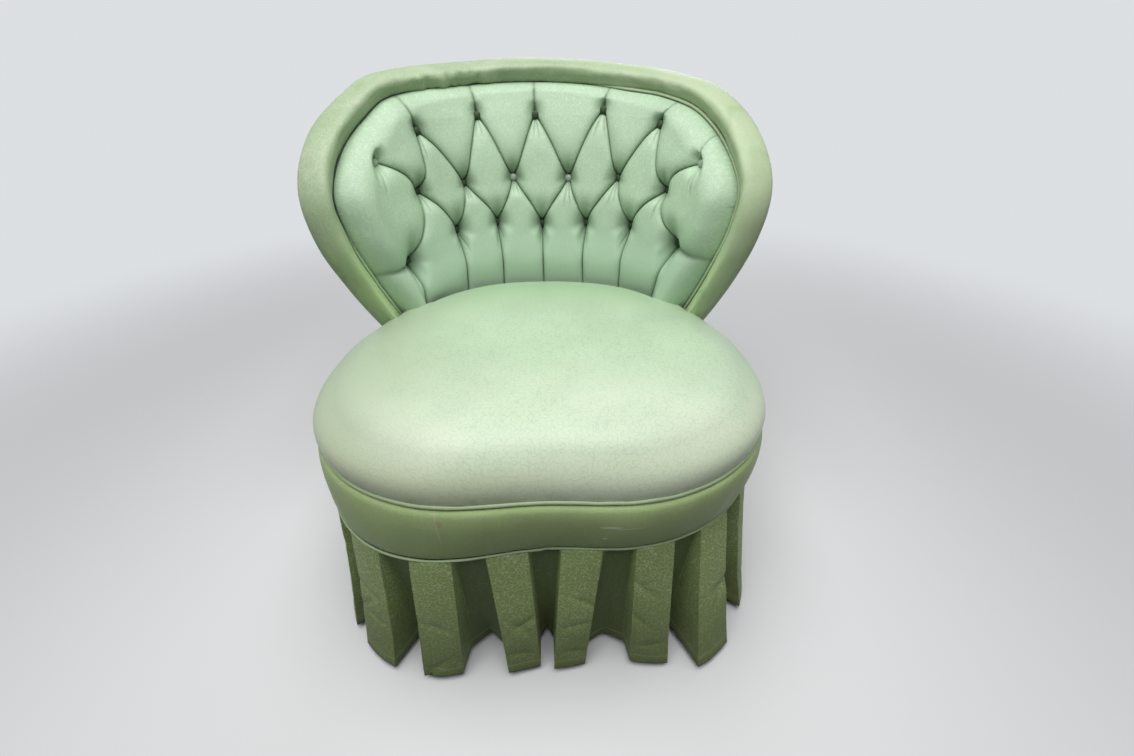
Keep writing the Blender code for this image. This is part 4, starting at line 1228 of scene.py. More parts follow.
def make_band(satin):
    """Boxing strip between the two welts, full in the middle of its height."""

    def fullness(t):
        rise = t / BAND_FULLEST if t < BAND_FULLEST else (1 - t) / (1 - BAND_FULLEST)
        return (BAND_BULGE + BAND_TUCK) * round_edge(rise) ** BAND_ROUNDNESS - BAND_TUCK

    section = [(t, fullness(t)) for t in np.linspace(0, 1, BAND_ROWS + 1)]
    section += [(1, -BAND_THICKNESS), (0, -BAND_THICKNESS)]

    def place(u, v):
        t, grow = section[round(v * len(section)) % len(section)]
        height = band_foot(u) + (BAND_TOP - band_foot(u)) * t
        wave = BAND_WAVE_DEPTH * uneven_round(u, BAND_WAVES, 5, BAND_WAVES_UP * t) * sin(pi * t)
        inset = band_inset(u) * (1 - t) ** BAND_INSET_BEND if grow > -BAND_THICKNESS else 0.0
        return outline(u, grow - inset + wave, height)

    def cloth(u, v):
        return u * OUTLINE_LENGTH, v * BAND_DROP

    band = loft("band", OUTLINE_STEPS, len(section), place, cloth, satin)
    return stand_for(band, "satin", "seat_band")


def make_welts(satin):
    """The cords above and below the band."""

    def top_line(share):
        return -TOP_WELT_TUCK

    def top_height(share):
        return TOP_WELT_HEIGHT

    def low_line(share):
        return SKIRT_WELT_PROUD - band_inset(share)

    top = seat_tube("top_welt", top_line, top_height, TOP_WELT_RADIUS, TOP_WELT_WANDER, satin)
    stand_for(top, "satin", "seat_top_welt")
    low = seat_tube("skirt_welt_cord", low_line, band_foot, SKIRT_WELT_RADIUS, SKIRT_WELT_WANDER, satin)
    stand_for(low, "satin", "skirt_welt")


# Skirt


def pleat_phases():
    """Where the skirt's points lie across one pleat, from a tab's left edge round to the next tab's."""
    tab = np.linspace(0, TAB_SHARE, TAB_STEPS + 1)
    steps = VALLEY_STEPS + tuple(1 - step for step in VALLEY_STEPS[-2::-1])
    valley = TAB_SHARE + (1 - TAB_SHARE) * np.array(steps)
    return np.concatenate([[0, PRESSED_EDGE], tab[1:-1], [TAB_SHARE - PRESSED_EDGE, TAB_SHARE], valley])


def make_skirt(satin):
    """Box pleats: flat pressed tabs that lean out towards the hem, with the cloth set back between."""
    phases = pleat_phases()
    columns = PLEATS * len(phases)
    draw = np.random.default_rng(SEED)
    lean = draw.uniform(-LEAN_SPREAD, LEAN_SPREAD, PLEATS)
    tilt = draw.uniform(-TILT_SPREAD, TILT_SPREAD, PLEATS)
    stand = draw.uniform(-STAND_SPREAD, STAND_SPREAD, PLEATS)
    twist = draw.uniform(-TWIST_SPREAD, TWIST_SPREAD, PLEATS)
    dent_place = draw.uniform(*DENT_PLACES, (PLEATS, DENTS))
    dent_slope = draw.uniform(*DENT_SLOPES, (PLEATS, DENTS))
    dent_middle = draw.uniform(*DENT_MIDDLES, (PLEATS, DENTS))
    deepness = draw.uniform(*VALLEY_DEEPNESS, PLEATS)
    hollow = draw.uniform(*VALLEY_HOLLOW, PLEATS)
    for pleat, sideways, off, turned in FRONT_TABS:
        lean[pleat], stand[pleat], twist[pleat] = sideways, off, turned

    def tab_grow(pleat, share, fall, across):
        flare = TAB_FLARE + (SIDE_FLARE - TAB_FLARE) * sin(2 * pi * share) ** 2 + stand[pleat]
        hang = flare * fall**FLARE_BEND + twist[pleat] * (across - 0.5) * fall
        return TAB_PROUD - band_inset(share) * (1 - fall) - TAB_TUCK * (1 - fall) ** TAB_TUCK_BEND + hang

    def dents(pleat, across, fall):
        """Depth of the creases that lie slantwise over a tab."""
        off = np.abs(fall - dent_place[pleat] - dent_slope[pleat] * (across - 0.5))
        short = bell(across - dent_middle[pleat], DENT_REACH)
        return float(np.sum(DENT_DEPTH * np.exp(-off / DENT_WIDTH) * short))

    def waves(cloth_waves, pleat, across, fall, seed):
        size, over, apart, down = cloth_waves
        return size * fall * uneven(over * across + apart * pleat, down * fall, seed)

    def tab_hang(pleat, share, fall, across):
        """How far a tab's point stands out, the height of its hem there, and its lean."""
        grow = tab_grow(pleat, share, fall, across)
        grow += TAB_CROWN * sin(pi * across) - dents(pleat, across, fall)
        grow += waves(TAB_WAVES, pleat, across, fall, 6)
        return grow, HEM_HEIGHT + tilt[pleat] * (across - 0.5), lean[pleat]

    def valley_hang(pleat, share, fall, across):
        """The same for a point between this tab and the next."""
        following = (pleat + 1) % PLEATS
        wall = max(1 - min(across, 1 - across) / VALLEY_WALL, 0.0) ** VALLEY_WALL_BEND
        open_out = hollow[pleat] * fall
        out = (1 - open_out) * wall + open_out * abs(2 * across - 1) ** VALLEY_HOLLOW_BEND
        left, right = tab_grow(pleat, share, fall, 1), tab_grow(following, share, fall, 0)
        tab = (1 - across) * left + across * right
        depth = -VALLEY_IN - band_inset(share) * (1 - fall) + VALLEY_FLARE * deepness[pleat] * fall
        grow = depth + (tab - depth) * out + (1 - out) * waves(VALLEY_WAVES, pleat, across, fall, 8)
        tilted = (1 - across) * tilt[pleat] / 2 - across * tilt[following] / 2
        hem = HEM_HEIGHT + tilted + VALLEY_LIFT * (1 - out)
        return grow, hem, (1 - across) * lean[pleat] + across * lean[following]

    def place(u, v):
        pleat, step = divmod(round(u * columns), len(phases))
        phase = phases[step]
        fall = 1 - v
        half = TAB_SHARE / 2 * (1 - TAB_TAPER * fall)
        on_tab = phase <= TAB_SHARE
        across = phase / TAB_SHARE if on_tab else (phase - TAB_SHARE) / (1 - TAB_SHARE)
        off_middle = half * (2 * across - 1) if on_tab else half + (1 - 2 * half) * across
        share = (pleat + off_middle + 0.5) / PLEATS
        share -= FRONT_CROWDING * sin(2 * pi * share) / (2 * pi)
        hang = tab_hang if on_tab else valley_hang
        grow, hem, aside = hang(pleat % PLEATS, share, fall, across)
        share += aside * fall / OUTLINE_LENGTH
        top = SKIRT_TOP - LEFT_DROP * at_left(share)
        return outline(share, grow, top + (hem - top) * fall)

    half_way = [place(column / columns, 0.5) for column in range(columns + 1)]
    steps = [(b - a).length for a, b in zip(half_way, half_way[1:])]
    run = np.concatenate([[0], np.cumsum(steps)])

    def cloth(u, v):
        return float(run[round(u * columns)]), v * (SKIRT_TOP - HEM_HEIGHT)

    skirt = thicken(loft("pleated_skirt", columns, SKIRT_ROWS, place, cloth, satin, smooth_angle=50), CLOTH)
    # this attribute holds the painted shade of the valleys between the tabs
    inside = skirt.data.attributes.new("fold", "FLOAT", "CORNER")
    thread = skirt.data.uv_layers["cloth"].uv
    for corner, sample in zip(inside.data, thread):
        phase = phases[int(np.argmin(np.abs(run - sample.vector.x))) % len(phases)]
        near = min(phase - TAB_SHARE, 1 - phase) / (1 - TAB_SHARE)
        corner.value = float(smooth(near / VALLEY_SHADE_REACH))
    return stand_for(skirt, "satin", "skirt")


# Back


def make_roll(satin):
    """Padded roll along the border, gathered where the cover turns the corners and at its feet."""
    section = spline(ROLL_SECTION, SECTION_STEPS, closed=True)
    sides = len(section)
    along = np.roll(section, -1, axis=0) - np.roll(section, 1, axis=0)
    along *= (ROLL_HALF_WING, ROLL_FRONT - ROLL_REAR)
    out = np.column_stack([along[:, 1], -along[:, 0]]) / np.hypot(*along.T)[:, None]
    if np.sum((section - section.mean(axis=0)) * out) < 0:
        out = -out

    def ripples(u, v, across, front):
        """How far the cover stands off the plain roll."""

        def waves(count):
            return count[0] * u, count[1] * across

        foot = smooth(1 - min(u, 1 - u) / FOOT_REACH)
        corner = sum(strength * bell(u - middle, GATHER_REACH) for middle, strength in ROLL_GATHERS)
        facing = ease(front, *ROLL_FACING_RUN)
        inner = facing * (1 - ease(across, *ROLL_OUTER_RUN))
        ripple = GATHER_LEAST + GATHER_DEPTH * corner
        ripple *= inner * (GATHER_PROUD + uneven(*waves(GATHER_WAVES), 9))
        crumple = abs(uneven(FOOT_WAVES[0] * u, FOOT_WAVES[1] * v, 13))
        ripple += FOOT_CRUMPLE * foot * facing * (FOOT_PROUD - crumple)
        ripple += ROLL_DIMPLES * facing * uneven(*waves(ROLL_DIMPLE_WAVES), 10)
        return ripple + ROLL_SWELL * uneven(*waves(ROLL_SWELL_WAVES), 14)

    def place(u, v):
        share = border_share(u)
        side = round(v * sides) % sides
        across, front = section[side]
        ripple = ripples(u, v, across, front)
        angle, height = border_place(share, across * roll_half(share) + ripple * out[side, 0])
        depth = ROLL_REAR + (roll_front(share) - ROLL_REAR) * front + ripple * out[side, 1]
        return back_point(angle, ROLL_FOOT if u in (0.0, 1.0) else max(height, ROLL_FOOT), depth)

    girth = 2 * (ROLL_FRONT - ROLL_REAR) + 4 * ROLL_HALF_WING

    def cloth(u, v):
        return u * BORDER_LENGTH, v * girth

    roll = loft("rolled_border", BORDER_STEPS, sides, place, cloth, satin, caps=True)
    return stand_for(roll, "satin", "back_roll")


def cord_sunk(share):
    """1 where the roll hangs over the cord, and 0 where the cord shows."""
    return ease(share, *CORD_DIP_RUN) * (1 - ease(share, *CORD_RISE_RUN))


def cord_radius(share):
    return BACK_WELT_RADIUS * (1 - CORD_THINNING * cord_sunk(share))


def make_back_welt(satin):
    """Cord between the roll and the pad, with the flange by which it is sewn in."""

    def place(u, v):
        share = border_share(u)
        turn = 2 * pi * v
        radius = cord_radius(share)
        middle = -CORD_SEAT * roll_half(share) - radius + CORD_WANDER * uneven(CORD_WANDER_WAVES * u, 0, 11)
        angle, height = border_place(share, middle + radius * cos(turn))
        proud = roll_front(share) - WELT_BEHIND_ROLL - WELT_SINK * cord_sunk(share)
        proud = max(proud, CORD_LEAST) + CORD_LIFT * uneven(CORD_LIFT_WAVES * u, 3, 12)
        rise = radius * sin(turn) if sin(turn) > FLANGE_FROM else -WELT_FLANGE
        return back_point(angle, max(height, ROLL_FOOT), proud + rise)

    def cloth(u, v):
        return u * BORDER_LENGTH, v * 2 * pi * BACK_WELT_RADIUS

    welt = loft("border_welt", BORDER_STEPS, WELT_SIDES, place, cloth, satin, caps=True)
    return stand_for(welt, "satin", "back_welt")


def pad_edge(share):
    """Angle and height of the pad's edge beside the welt."""
    cord = 2 * cord_radius(share) * (1 - CORD_HIDDEN * cord_sunk(share))
    return border_place(share, -CORD_SEAT * roll_half(share) - cord - LAYER_GAP - PAD_EDGE_GAP)


def pad_edge_share(axis, value, first, last):
    """The share of the border where the pad's edge has this angle (axis 0) or height (axis 1)."""
    shares = np.linspace(first, last, PAD_EDGE_SAMPLES)
    values = [pad_edge(share)[axis] for share in shares]
    return float(np.interp(value, values, shares))


def pad_side(heights, foot, widest):
    """Shares of the border where the pad's edge has these heights up one side, and the corner's."""
    side = [pad_edge_share(1, height, foot, widest) for height in heights]
    return side + [pad_edge_share(1, CORNER_HEIGHT, widest, 0.5)]


def tuft_row(buttons, first):
    """Angle and height of every half tuft between a row's first and last button."""
    columns = [first + 2 * k for k in range(len(buttons))]
    between = np.arange(columns[0], columns[-1] + 1)
    angles = np.interp(between, columns, [radians(angle) for angle, height in buttons])
    heights = np.interp(between, columns, [height for angle, height in buttons])
    return list(zip(angles, heights))


def fan_out(angle):
    """Share of the border where the upright fold from the top row at this angle ends."""
    turned = FAN_SPREAD + FAN_GAIN * abs(angle) - FAN_TURN * ease(abs(angle), *FAN_TURN_RUN)
    return pad_edge_share(0, angle * turned, BORDER_WIDEST, 1 - BORDER_WIDEST)


def tuft_lattice():
    """Angle and height of the pad's points, TUFT_STEPS to each half tuft, rightwards and up."""
    left_side = pad_side(LEFT_SIDE, 0.0, BORDER_WIDEST)
    right_side = pad_side(RIGHT_SIDE, 1.0, 1 - BORDER_WIDEST)
    left, right = ([pad_edge(share) for share in side] for side in (left_side, right_side))
    foot = tuft_row([(angle, PAD_BOTTOM) for angle in FOOT_ROW], 0)
    low = tuft_row(LOW_ROW, 0)
    middle = tuft_row(MIDDLE_ROW, 1)
    top = tuft_row(TOP_ROW, 0)
    wing_left = np.mean([left[2], middle[0]], axis=0)
    wing_right = np.mean([right[2], middle[-1]], axis=0)
    fan = [fan_out(angle) for angle, height in top]
    rows = (
        [left[0]] + foot + [right[0]],
        [left[1]] + low + [right[1]],
        [left[2], wing_left] + middle + [wing_right, right[2]],
        [left[3]] + top + [right[3]],
        [left[4]] + [pad_edge(share) for share in fan] + [right[4]],
    )
    fine = np.array([spline(row, TUFT_STEPS) for row in rows])
    fine = np.array([spline(fine[:, k], TUFT_STEPS) for k in range(fine.shape[1])])

    def on_edge(step, shares):
        return pad_edge(float(np.interp(step / TUFT_STEPS, range(len(shares)), shares)))

    for row in range(fine.shape[1]):
        fine[0, row] = on_edge(row, left_side)
        fine[-1, row] = on_edge(row, right_side)
    crest = [left_side[-1]] + fan + [right_side[-1]]
    for column in range(fine.shape[0]):
        fine[column, -1] = on_edge(column, crest)
    return fine


def lattice_places(fine):
    """Half tufts counted from the first button, and rows from the lowest, for every point."""
    column = np.arange(fine.shape[0])[:, None] / TUFT_STEPS - 1 + np.zeros(fine.shape[:2])
    row = np.arange(fine.shape[1])[None, :] / TUFT_STEPS - 1 + np.zeros(fine.shape[:2])
    return column, row


def button_places():
    """Angle, height and depth of every button's underside, as the frame has them."""
    places = []
    for number, (degrees, height) in enumerate(TOP_ROW + MIDDLE_ROW + LOW_ROW, 1):
        low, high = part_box(f"back_button_{number:02d}")
        angle = radians(degrees)
        shell = back_point(angle, height, 0.0)
        forwards = back_point(angle, height, 1.0) - shell
        middle = (low + high) / 2 - Vector((0, SEAT_SHIFT, 0))
        places.append((angle, height, (middle - shell).dot(forwards) - BUTTON_HEIGHT / 2))
    return places


def in_tufts(column, row):
    """The nearest place among the tufts, and how many half tufts a place lies to the side of them."""
    beyond = np.clip(np.maximum(-column, column - LAST_TUFT), 0, 1)
    return np.clip(column, 0, LAST_TUFT), np.clip(row, 0, LAST_ROW), beyond


def fold_waves(inner, level):
    """0 on the rising, the falling and the upright folds, and 1 half way to the next."""
    return [np.abs(np.sin(pi * place / 2)) for place in (inner + level, inner - level, inner)]


def off_rows(row, reach):
    """0 between the lowest and the highest row of buttons, and 1 from this reach below or above them."""
    return np.maximum(smooth(-row / reach), smooth((row - LAST_ROW) / reach))


def left_fold_gone(column, row):
    """How far the fold above the left wing button has run out, from 0 to 1."""
    return np.where(column < 1, ease(row, *LEFT_FOLD_RUN), 0.0)


def puff_height(column, row):
    """How full the pad is at each lattice place, from 0 at a button to 1 in the middle of a puff."""
    inner, level, beyond = in_tufts(column, row)
    rising, falling, upright = fold_waves(inner, level)
    floor = FOLD_FLOOR * smooth(np.maximum(rising, falling) / FOLD_RISE)
    pillow = round_edge(rising / PUFF_ROUND) * round_edge(falling / PUFF_ROUND)
    middle = np.floor((inner + level) / 2) - np.floor((inner - level) / 2)
    sag = bell(level - middle + SAG_BELOW, SAG_REACH)
    puff = floor + (1 - floor) * pillow + PUFF_SAG * sag * pillow**2
    belly = CHANNEL_SAG * bell(row + BELLY_BELOW, BELLY_REACH)
    channel = CHANNEL_FLOOR + (1 - CHANNEL_FLOOR + belly) * round_edge(upright / PUFF_ROUND)
    channel += (1 - channel) * left_fold_gone(column, row)
    puff = puff + (channel - puff) * off_rows(row, PLEAT_RISE)
    puff = puff * (1 - CHANNEL_DRAW_IN * ease(-row, *DRAW_IN_RUN))
    from_end = np.minimum(np.abs(column), np.abs(column - LAST_TUFT))
    lifted = np.exp(-(from_end**2 + (row - LAST_ROW) ** 2) / WING_LIFT_REACH)
    puff = np.maximum(puff, WING_BUTTON_LIFT * lifted)
    low = np.abs(row + LOW_CREASE_DROP * beyond) / CREASE_REACH
    low_floor = np.minimum(LOW_CREASE_OPENING * beyond, LOW_CREASE_FLOOR)
    wing = 1 - (1 - low_floor) * (1 - round_edge(low))
    return puff + (np.clip(wing, 0, 1) - puff) * smooth(beyond / WING_BLEND)


def off_fold(column, row):
    """How far each lattice place is from the nearest fold, from 0 to about 1."""
    inner, level, beyond = in_tufts(column, row)
    rising, falling, upright = fold_waves(inner, level)
    slant = np.minimum(rising, falling)
    upright += (1 - upright) * left_fold_gone(column, row)
    near = slant + (upright - slant) * off_rows(row, FOLD_TURN)
    at_low = np.abs(row + LOW_CREASE_DROP * beyond)
    return near + (at_low - near) * smooth(beyond / FOLD_END)


def pull_creases(across, up, draw):
    """The two short creases that a button pulls into the cloth below it, from 0 to 1."""
    depth = np.zeros_like(across)
    for side in (-1, 1):
        turn = side * radians(draw.uniform(*PULL_TURNS))
        length = draw.uniform(*PULL_LENGTHS)
        along = across * sin(turn) - up * cos(turn)
        off = across * cos(turn) + up * sin(turn)
        share = np.clip(along / length, 0, 1)
        depth += np.exp(-np.abs(off) / PULL_WIDTH) * np.sin(pi * share**PULL_SKEW)
    return depth


def pad_edge_depth(angle):
    """Depth of the pad's edge, which follows the roll."""
    wing = ease(np.abs(angle), *PAD_EDGE_WING_RUN)
    return ROLL_FRONT - PAD_EDGE_BEHIND_ROLL + (ROLL_FRONT_WING - ROLL_FRONT) * wing


def from_edge(fine):
    """How far inside the pad's edge every lattice point lies, and the nearest share of the border."""
    shares = np.linspace(FOOT_SHARE, 1 - FOOT_SHARE, NEAREST_SAMPLES)
    line = np.array([pad_edge(share) for share in shares])
    along = np.gradient(line, axis=0)
    along[:, 0] *= arc_per_radian(line[:, 0], line[:, 1])
    along /= np.hypot(*along.T)[:, None]
    inside, nearest = np.empty(fine.shape[:2]), np.empty(fine.shape[:2])
    for column, points in enumerate(fine):
        angle, height = points[:, :1], points[:, 1:]
        across = (angle - line[:, 0]) * arc_per_radian(angle, height)
        up = height - line[:, 1]
        best = np.hypot(across, up).argmin(axis=1)
        rows = np.arange(len(points))
        off = np.abs(across[rows, best] * along[best, 1] - up[rows, best] * along[best, 0])
        inside[column] = np.maximum(off - 2 * GAP, 0)
        nearest[column] = shares[best]
    return inside, nearest


def dimple_sizes(number):
    """How far the dimple about this button reaches to each side, above and below."""
    if number in WING_BUTTONS:
        return WING_DIMPLE
    if number in CORNER_BUTTONS:
        return CORNER_DIMPLE
    return SLIT_DIMPLE if number <= len(TOP_ROW) else DEEP_DIMPLE


def dimple_reach(number, across, up):
    """How far out of this button's dimple each point lies: 0 in its funnel, 1 at about its reach."""
    wide, above, below = dimple_sizes(number)
    away = np.hypot(across, up)
    reach = np.hypot(across / wide, up / np.where(up > 0, above, below))
    funnel = FUNNEL_RADIUS if number in SHOWN_BUTTONS else SUNK_FUNNEL_RADIUS
    return reach * np.maximum(away - funnel, 0) / np.maximum(away, WELD)


def soft_least(first, second):
    """The lesser of two depths, rounded off where they meet."""
    return -DIMPLE_SOFTNESS * np.log(np.exp(-first / DIMPLE_SOFTNESS) + np.exp(-second / DIMPLE_SOFTNESS))


def pad_depths(fine, buttons):
    """Depth of the pad's face, and the painted shade of its folds, creases and pits, at every lattice
    point.
    """
    column, row = lattice_places(fine)
    angle, height = fine[..., 0], fine[..., 1]
    full = np.interp(height, PUFF_HEIGHTS, PUFF_DEPTHS)
    depth = TUFT_DEPTH + (full - TUFT_DEPTH) * puff_height(column, row)
    inside, share = from_edge(fine)
    edge = round_edge(inside / np.interp(np.abs(2 * share - 1), PAD_EDGE_DOWN, PAD_EDGE_REACH))
    rim = np.maximum(pad_edge_depth(angle) - PAD_EDGE_SINK * cord_sunk(share), PAD_REAR + GAP)
    near = off_fold(column, row)
    depth -= FOLD_SLIT * np.exp(-near / FOLD_SLIT_WIDTH) * edge
    depth = rim + (depth - rim) * edge
    # painted shade along the folds; each button adds painted shade in its creases and its pit
    shade = sum(dark * np.exp(-near / reach) for dark, reach in FOLD_SHADES)
    draw = np.random.default_rng(SEED)
    for number, (button_angle, button_height, base) in enumerate(buttons, 1):
        across = (angle - button_angle) * arc_per_radian(angle, height)
        up = height - button_height
        creases = pull_creases(across, up, draw)
        depth -= PULL_DEPTH * creases
        shade = np.maximum(shade, PULL_SHADE * creases)
        reach = dimple_reach(number, across, up)
        depth = soft_least(depth, base + DIMPLE_FULL * (PUFF_DEPTH - base) * (1 - np.exp(-reach)))
        if number in WING_BUTTONS:
            shade = shade * (1 - WING_CLEARING * bell(np.hypot(across, up), WING_CLEARING_REACH))
        else:
            shade = np.maximum(shade, PIT_SHADE * np.exp(-PIT_FADE * reach))
    return depth, np.clip(shade, 0, 1)


def bulge_wings(fine):
    """Moves the sides of the tufts in between the rows, where the wing puffs swell over them."""
    column, row = lattice_places(fine)
    left = bell(column - WING_BULGE_AT, WING_BULGE_REACH)
    right = bell(column - (LAST_TUFT - WING_BULGE_AT), WING_BULGE_REACH)
    between_rows = np.where((row > 0) & (row < LAST_ROW), np.sin(pi * row) ** 2, 0)
    fine[..., 0] += WING_BULGE * (left - right) * between_rows


def make_pad(satin, buttons):
    """Tufted inside back: a face cut along its folds, and a plain rear on the lining."""
    fine = tuft_lattice()
    bulge_wings(fine)
    depths, shades = pad_depths(fine, buttons)
    columns, rows = fine.shape[0] - 1, fine.shape[1] - 1
    bm = bmesh.new()
    bmesh.ops.create_grid(bm, x_segments=columns, y_segments=rows, size=1.0)

    def lattice_point(point):
        along, up = grid_share(point)
        return round(along * columns), round(up * rows)

    def on_cloth(point):
        angle, height = fine[lattice_point(point)]
        return angle * SHELL_HALF_WIDTH, height

    for quad in list(bm.faces):
        along, up = grid_share(quad.calc_center_median())
        inner, level = along * columns / TUFT_STEPS - 1, up * rows / TUFT_STEPS - 1
        corners = sorted(quad.verts, key=lambda vert: tuple(vert.co.xy))
        lower_left, upper_left, lower_right, upper_right = corners
        if abs(sin(pi * (inner - level) / 2)) < abs(sin(pi * (inner + level) / 2)):
            bmesh.utils.face_split(quad, lower_left, upper_right)
        else:
            bmesh.utils.face_split(quad, lower_right, upper_left)
    lay_cloth(bm, on_cloth)
    # this layer holds the painted shade of the folds, creases and pits
    fold = bm.verts.layers.float.new("fold")
    rear_verts = list(bm.verts)
    made = bmesh.ops.extrude_face_region(bm, geom=list(bm.faces), use_keep_orig=True)["geom"]
    face_verts = [item for item in made if isinstance(item, bmesh.types.BMVert)]
    for vert in rear_verts:
        vert.co = back_point(*fine[lattice_point(vert.co)], PAD_REAR)
    for vert in face_verts:
        at = lattice_point(vert.co)
        vert[fold] = float(shades[at])
        vert.co = back_point(*fine[at], depths[at])
    pad = add_piece("tufted_pad", bm, satin, smooth_angle=75)
    return stand_for(pad, "satin", "back_pad")


def make_button(number, angle, height, depth, satin):
    """Covered button: a domed mould with its cover drawn under, turned to face out of the pad."""
    bm = bmesh.new()
    verts = [bm.verts.new((out * BUTTON_RADIUS, 0, rise * BUTTON_HEIGHT)) for out, rise in BUTTON_PROFILE]
    edges = [bm.edges.new(pair) for pair in zip(verts, verts[1:])]
    bmesh.ops.spin(
        bm,
        geom=verts + edges,
        axis=Vector((0, 0, 1)),
        cent=Vector(),
        steps=BUTTON_STEPS,
        angle=2 * pi,
        use_merge=True,
    )
    bmesh.ops.remove_doubles(bm, verts=bm.verts, dist=WELD)
    lay_cloth(bm, lambda point: (point.x + BUTTON_CLOTH_STEP * number, point.y))
    seat = back_point(angle, height, depth)
    forwards = (back_point(angle, height, depth + BUTTON_HEIGHT) - seat).normalized()
    turn = forwards.to_track_quat("Z", "Y").to_matrix().to_4x4()
    bmesh.ops.transform(bm, matrix=Matrix.Translation(seat) @ turn, verts=bm.verts)
    button = add_piece(f"covered_button_{number:02d}", bm, satin)
    return stand_for(button, "satin", f"back_button_{number:02d}")


def make_outside_back(satin):
    """Outside cover of the back, which runs out at its foot to lie behind the seat's welt."""
    middle = SHELL_REAR - SHELL_HALF_DEPTH
    around = np.arctan2(OUTLINE_X, OUTLINE_Y - middle)
    order = np.argsort(around)

    def run_out(point):
        bearing = np.arctan2(point.x, point.y - middle)
        share = float(np.interp(bearing, around[order], order)) / len(OUTLINE_X)
        welt_side = outline(share, -OUTSIDE_TUCK, point.z)
        down = float(smooth(1 - (point.z - TOP_WELT_HEIGHT) / RUN_OUT_HEIGHT))
        return point.lerp(welt_side, down**2)

    sizes = (OUTSIDE_DEPTH, OUTSIDE_FOOT, OUTSIDE_EDGE, OUTSIDE_THICKNESS)
    panel = back_panel("outside_panel", *sizes, satin, run_out)
    return stand_for(panel, "satin", "outside_back")


# Cloth that the covers hide


def make_deck(hessian):
    """Hessian over the springs, domed under the cushion."""

    def place(u, v):
        scale = 1 - v
        dome = 1 - min(scale / DECK_EDGE, 1.0) ** 2
        return inward(u, -DECK_INSET, scale, RAIL_TOP + DECK_LIFT + DECK_RISE * dome)

    def cloth(u, v):
        return inward(u, -DECK_INSET, 1 - v, 0).xy

    deck = thicken(loft("hessian_deck", DECK_COLUMNS, DECK_RINGS, place, cloth, hessian), HESSIAN_THICKNESS)
    return stand_for(deck, "hessian", "seat_deck")


def make_lining(hessian):
    """Hessian behind the pad, stretched between the posts."""
    sizes = (LINING_DEPTH, LINING_FOOT, LINING_EDGE, HESSIAN_THICKNESS)
    lining = back_panel("hessian_lining", *sizes, hessian)
    return stand_for(lining, "hessian", "back_lining")


def make_dust_cover(cambric):
    """Black cloth under the seat frame, cut out round the legs."""
    height = RAIL_BOTTOM - DUST_COVER_DROP
    bm = bmesh.new()
    shares = np.arange(DUST_COVER_STEPS) / DUST_COVER_STEPS
    rim = [bm.verts.new(outline(share, -DUST_COVER_INSET, height)) for share in shares]
    for pair in zip(rim, rim[1:] + rim[:1]):
        bm.edges.new(pair)
    for number in range(1, 5):
        low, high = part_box(f"leg_{number}")
        middle = (low + high) / 2
        at_leg = Matrix.Translation((middle.x, middle.y - SEAT_SHIFT, height))
        radius = (high.x - low.x) / 2 + LEG_CLEARANCE
        bmesh.ops.create_circle(bm, cap_ends=False, segments=LEG_HOLE_STEPS, radius=radius, matrix=at_leg)
    bmesh.ops.triangle_fill(bm, use_beauty=True, use_dissolve=False, edges=bm.edges)
    lay_cloth(bm, lambda point: point.xy)
    cover = thicken(add_piece("cambric_dust_cover", bm, cambric), DUST_COVER_THICKNESS)
    return stand_for(cover, "cambric", "dust_cover")


# Rigid pieces keep their frame's shapes and get finishes


def dress_frame():
    finishes = {
        "beech": make_wood(),
        "glide": make_metal("nickel", *NICKEL),
        "spring_steel": make_metal("spring_steel", *SPRING_STEEL),
    }
    slots = {part["node"]: part["material_slot"] for part in frame["record"]["subparts"]}
    for name, piece in frame["nodes"].items():
        finish = finishes.get(slots[name])
        if finish:
            for slot in piece.material_slots:
                slot.material = finish


# Camera, floor and light


def make_camera():
    sp, cp = sin(CAMERA_PITCH), cos(CAMERA_PITCH)
    sy, cy = sin(CAMERA_YAW), cos(CAMERA_YAW)
    sr, cr = sin(CAMERA_ROLL), cos(CAMERA_ROLL)
    ahead = Vector((sy * cp, cy * cp, -sp))
    right = Vector((cy, -sy, 0))
    down = ahead.cross(right)
    across = right * cr + down * sr
    below = -right * sr + down * cr
    data = bpy.data.cameras.new("photograph")
    data.sensor_width = SENSOR_WIDTH
    data.lens = SENSOR_WIDTH * FOCAL_PIXELS / PHOTO_WIDTH
    camera = add_object("photograph", data)
    turn = Matrix((across, -below, -ahead)).transposed().to_4x4()
    camera.matrix_world = Matrix.Translation(Vector(CAMERA_PLACE) + Vector((0, SEAT_SHIFT, 0))) @ turn
    bpy.context.scene.camera = camera


def seen_rays(tree):
    """1 on rays that show a surface to the camera, straight or in a reflection."""
    rays = add_node(tree, "ShaderNodeLightPath").outputs
    seen = maths(tree, "MAXIMUM", rays["Is Camera Ray"], rays["Is Glossy Ray"])
    return maths(tree, "MAXIMUM", seen, rays["Is Transmission Ray"])


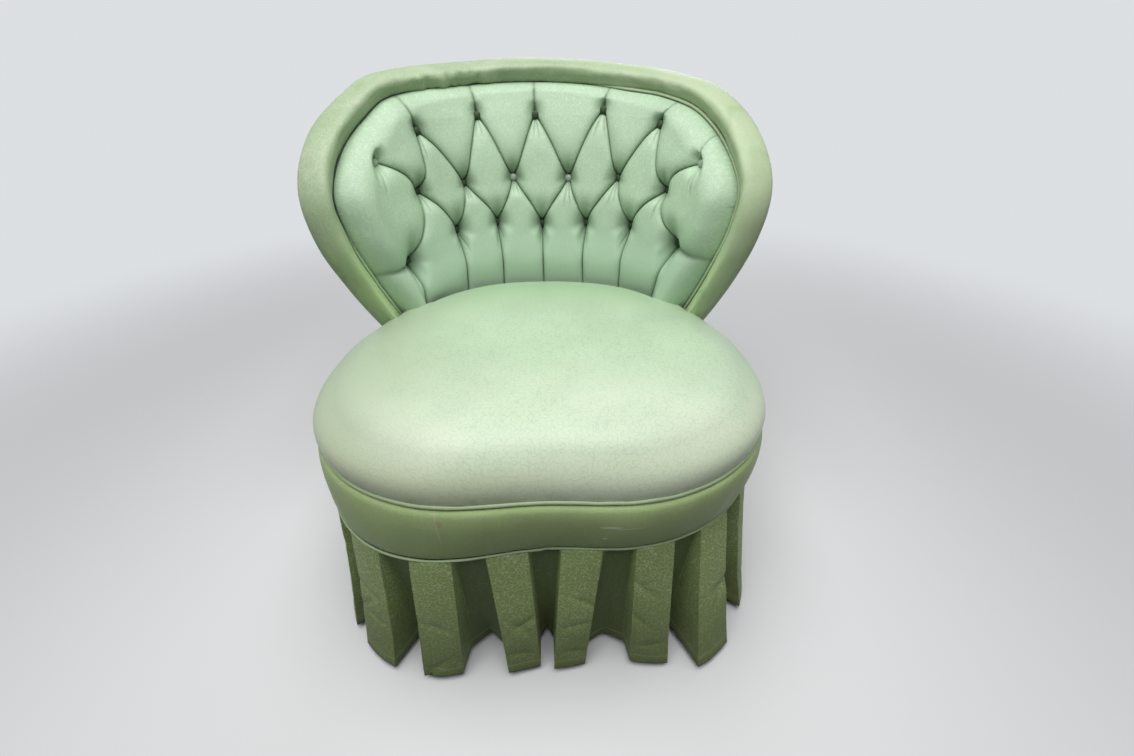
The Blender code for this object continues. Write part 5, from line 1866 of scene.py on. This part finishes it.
def make_floor():
    """Pale floor that throws back less light than it shows, and far off fades into the backdrop."""
    material, tree, shader = start_material("pale_floor", 0.9)
    seen = seen_rays(tree)
    place, cloth = coordinates(tree)
    away = add_node(tree, "ShaderNodeVectorMath", {0: place}, operation="LENGTH").outputs["Value"]
    far = times(tree, seen, fade(tree, away, *FLOOR_FADE))
    colour = mix(tree, far, mix(tree, seen, FLOOR_LIGHT, FLOOR), BLACK)
    tree.links.new(colour, shader.inputs["Base Color"])
    tree.links.new(mix(tree, far, BLACK, BACKDROP), shader.inputs["Emission Color"])
    shader.inputs["Emission Strength"].default_value = 1.0
    shader.inputs["Specular IOR Level"].default_value = 0.0
    bm = bmesh.new()
    bmesh.ops.create_grid(bm, x_segments=1, y_segments=1, size=FLOOR_SIZE)
    floor = add_object("floor", mesh_from(bm, "floor", material))


def make_light():
    """Broad light over the chair, a weak one behind it, and a little from all round."""
    world = bpy.data.worlds.new("studio")
    world.use_nodes = True
    tree = world.node_tree
    colour = mix(tree, seen_rays(tree), BACKDROP_LIGHT, BACKDROP)
    tree.links.new(colour, tree.nodes["Background"].inputs["Color"])
    bpy.context.scene.world = world
    for name, (power, size, place, aim) in LAMPS.items():
        data = bpy.data.lights.new(name, "AREA")
        data.energy = power
        data.size = size
        lamp = add_object(name, data)
        lamp.location = place
        lamp.rotation_euler = (Vector(aim) - Vector(place)).to_track_quat("-Z", "Y").to_euler()


def main():
    bpy.context.scene.view_settings.view_transform = "Standard"
    make_camera()
    make_floor()
    make_light()
    dress_frame()
    satins = make_satins()
    make_seat(satins["seat"])
    make_band(satins["band"])
    make_welts(satins["welt"])
    make_skirt(satins["skirt"])
    make_roll(satins["roll"])
    make_back_welt(satins["cord"])
    buttons = button_places()
    make_pad(satins["pad"], buttons)
    # buttons sunk in the pits get the copy with painted shade
    for number, button in enumerate(buttons, 1):
        make_button(number, *button, satins["button" if number in SHOWN_BUTTONS else "shadow_painted_button"])
    make_outside_back(satins["roll"])
    hessian = make_plain_weave("hessian", *HESSIAN)
    make_deck(hessian)
    make_lining(hessian)
    make_dust_cover(make_plain_weave("cambric", *CAMBRIC))


main()
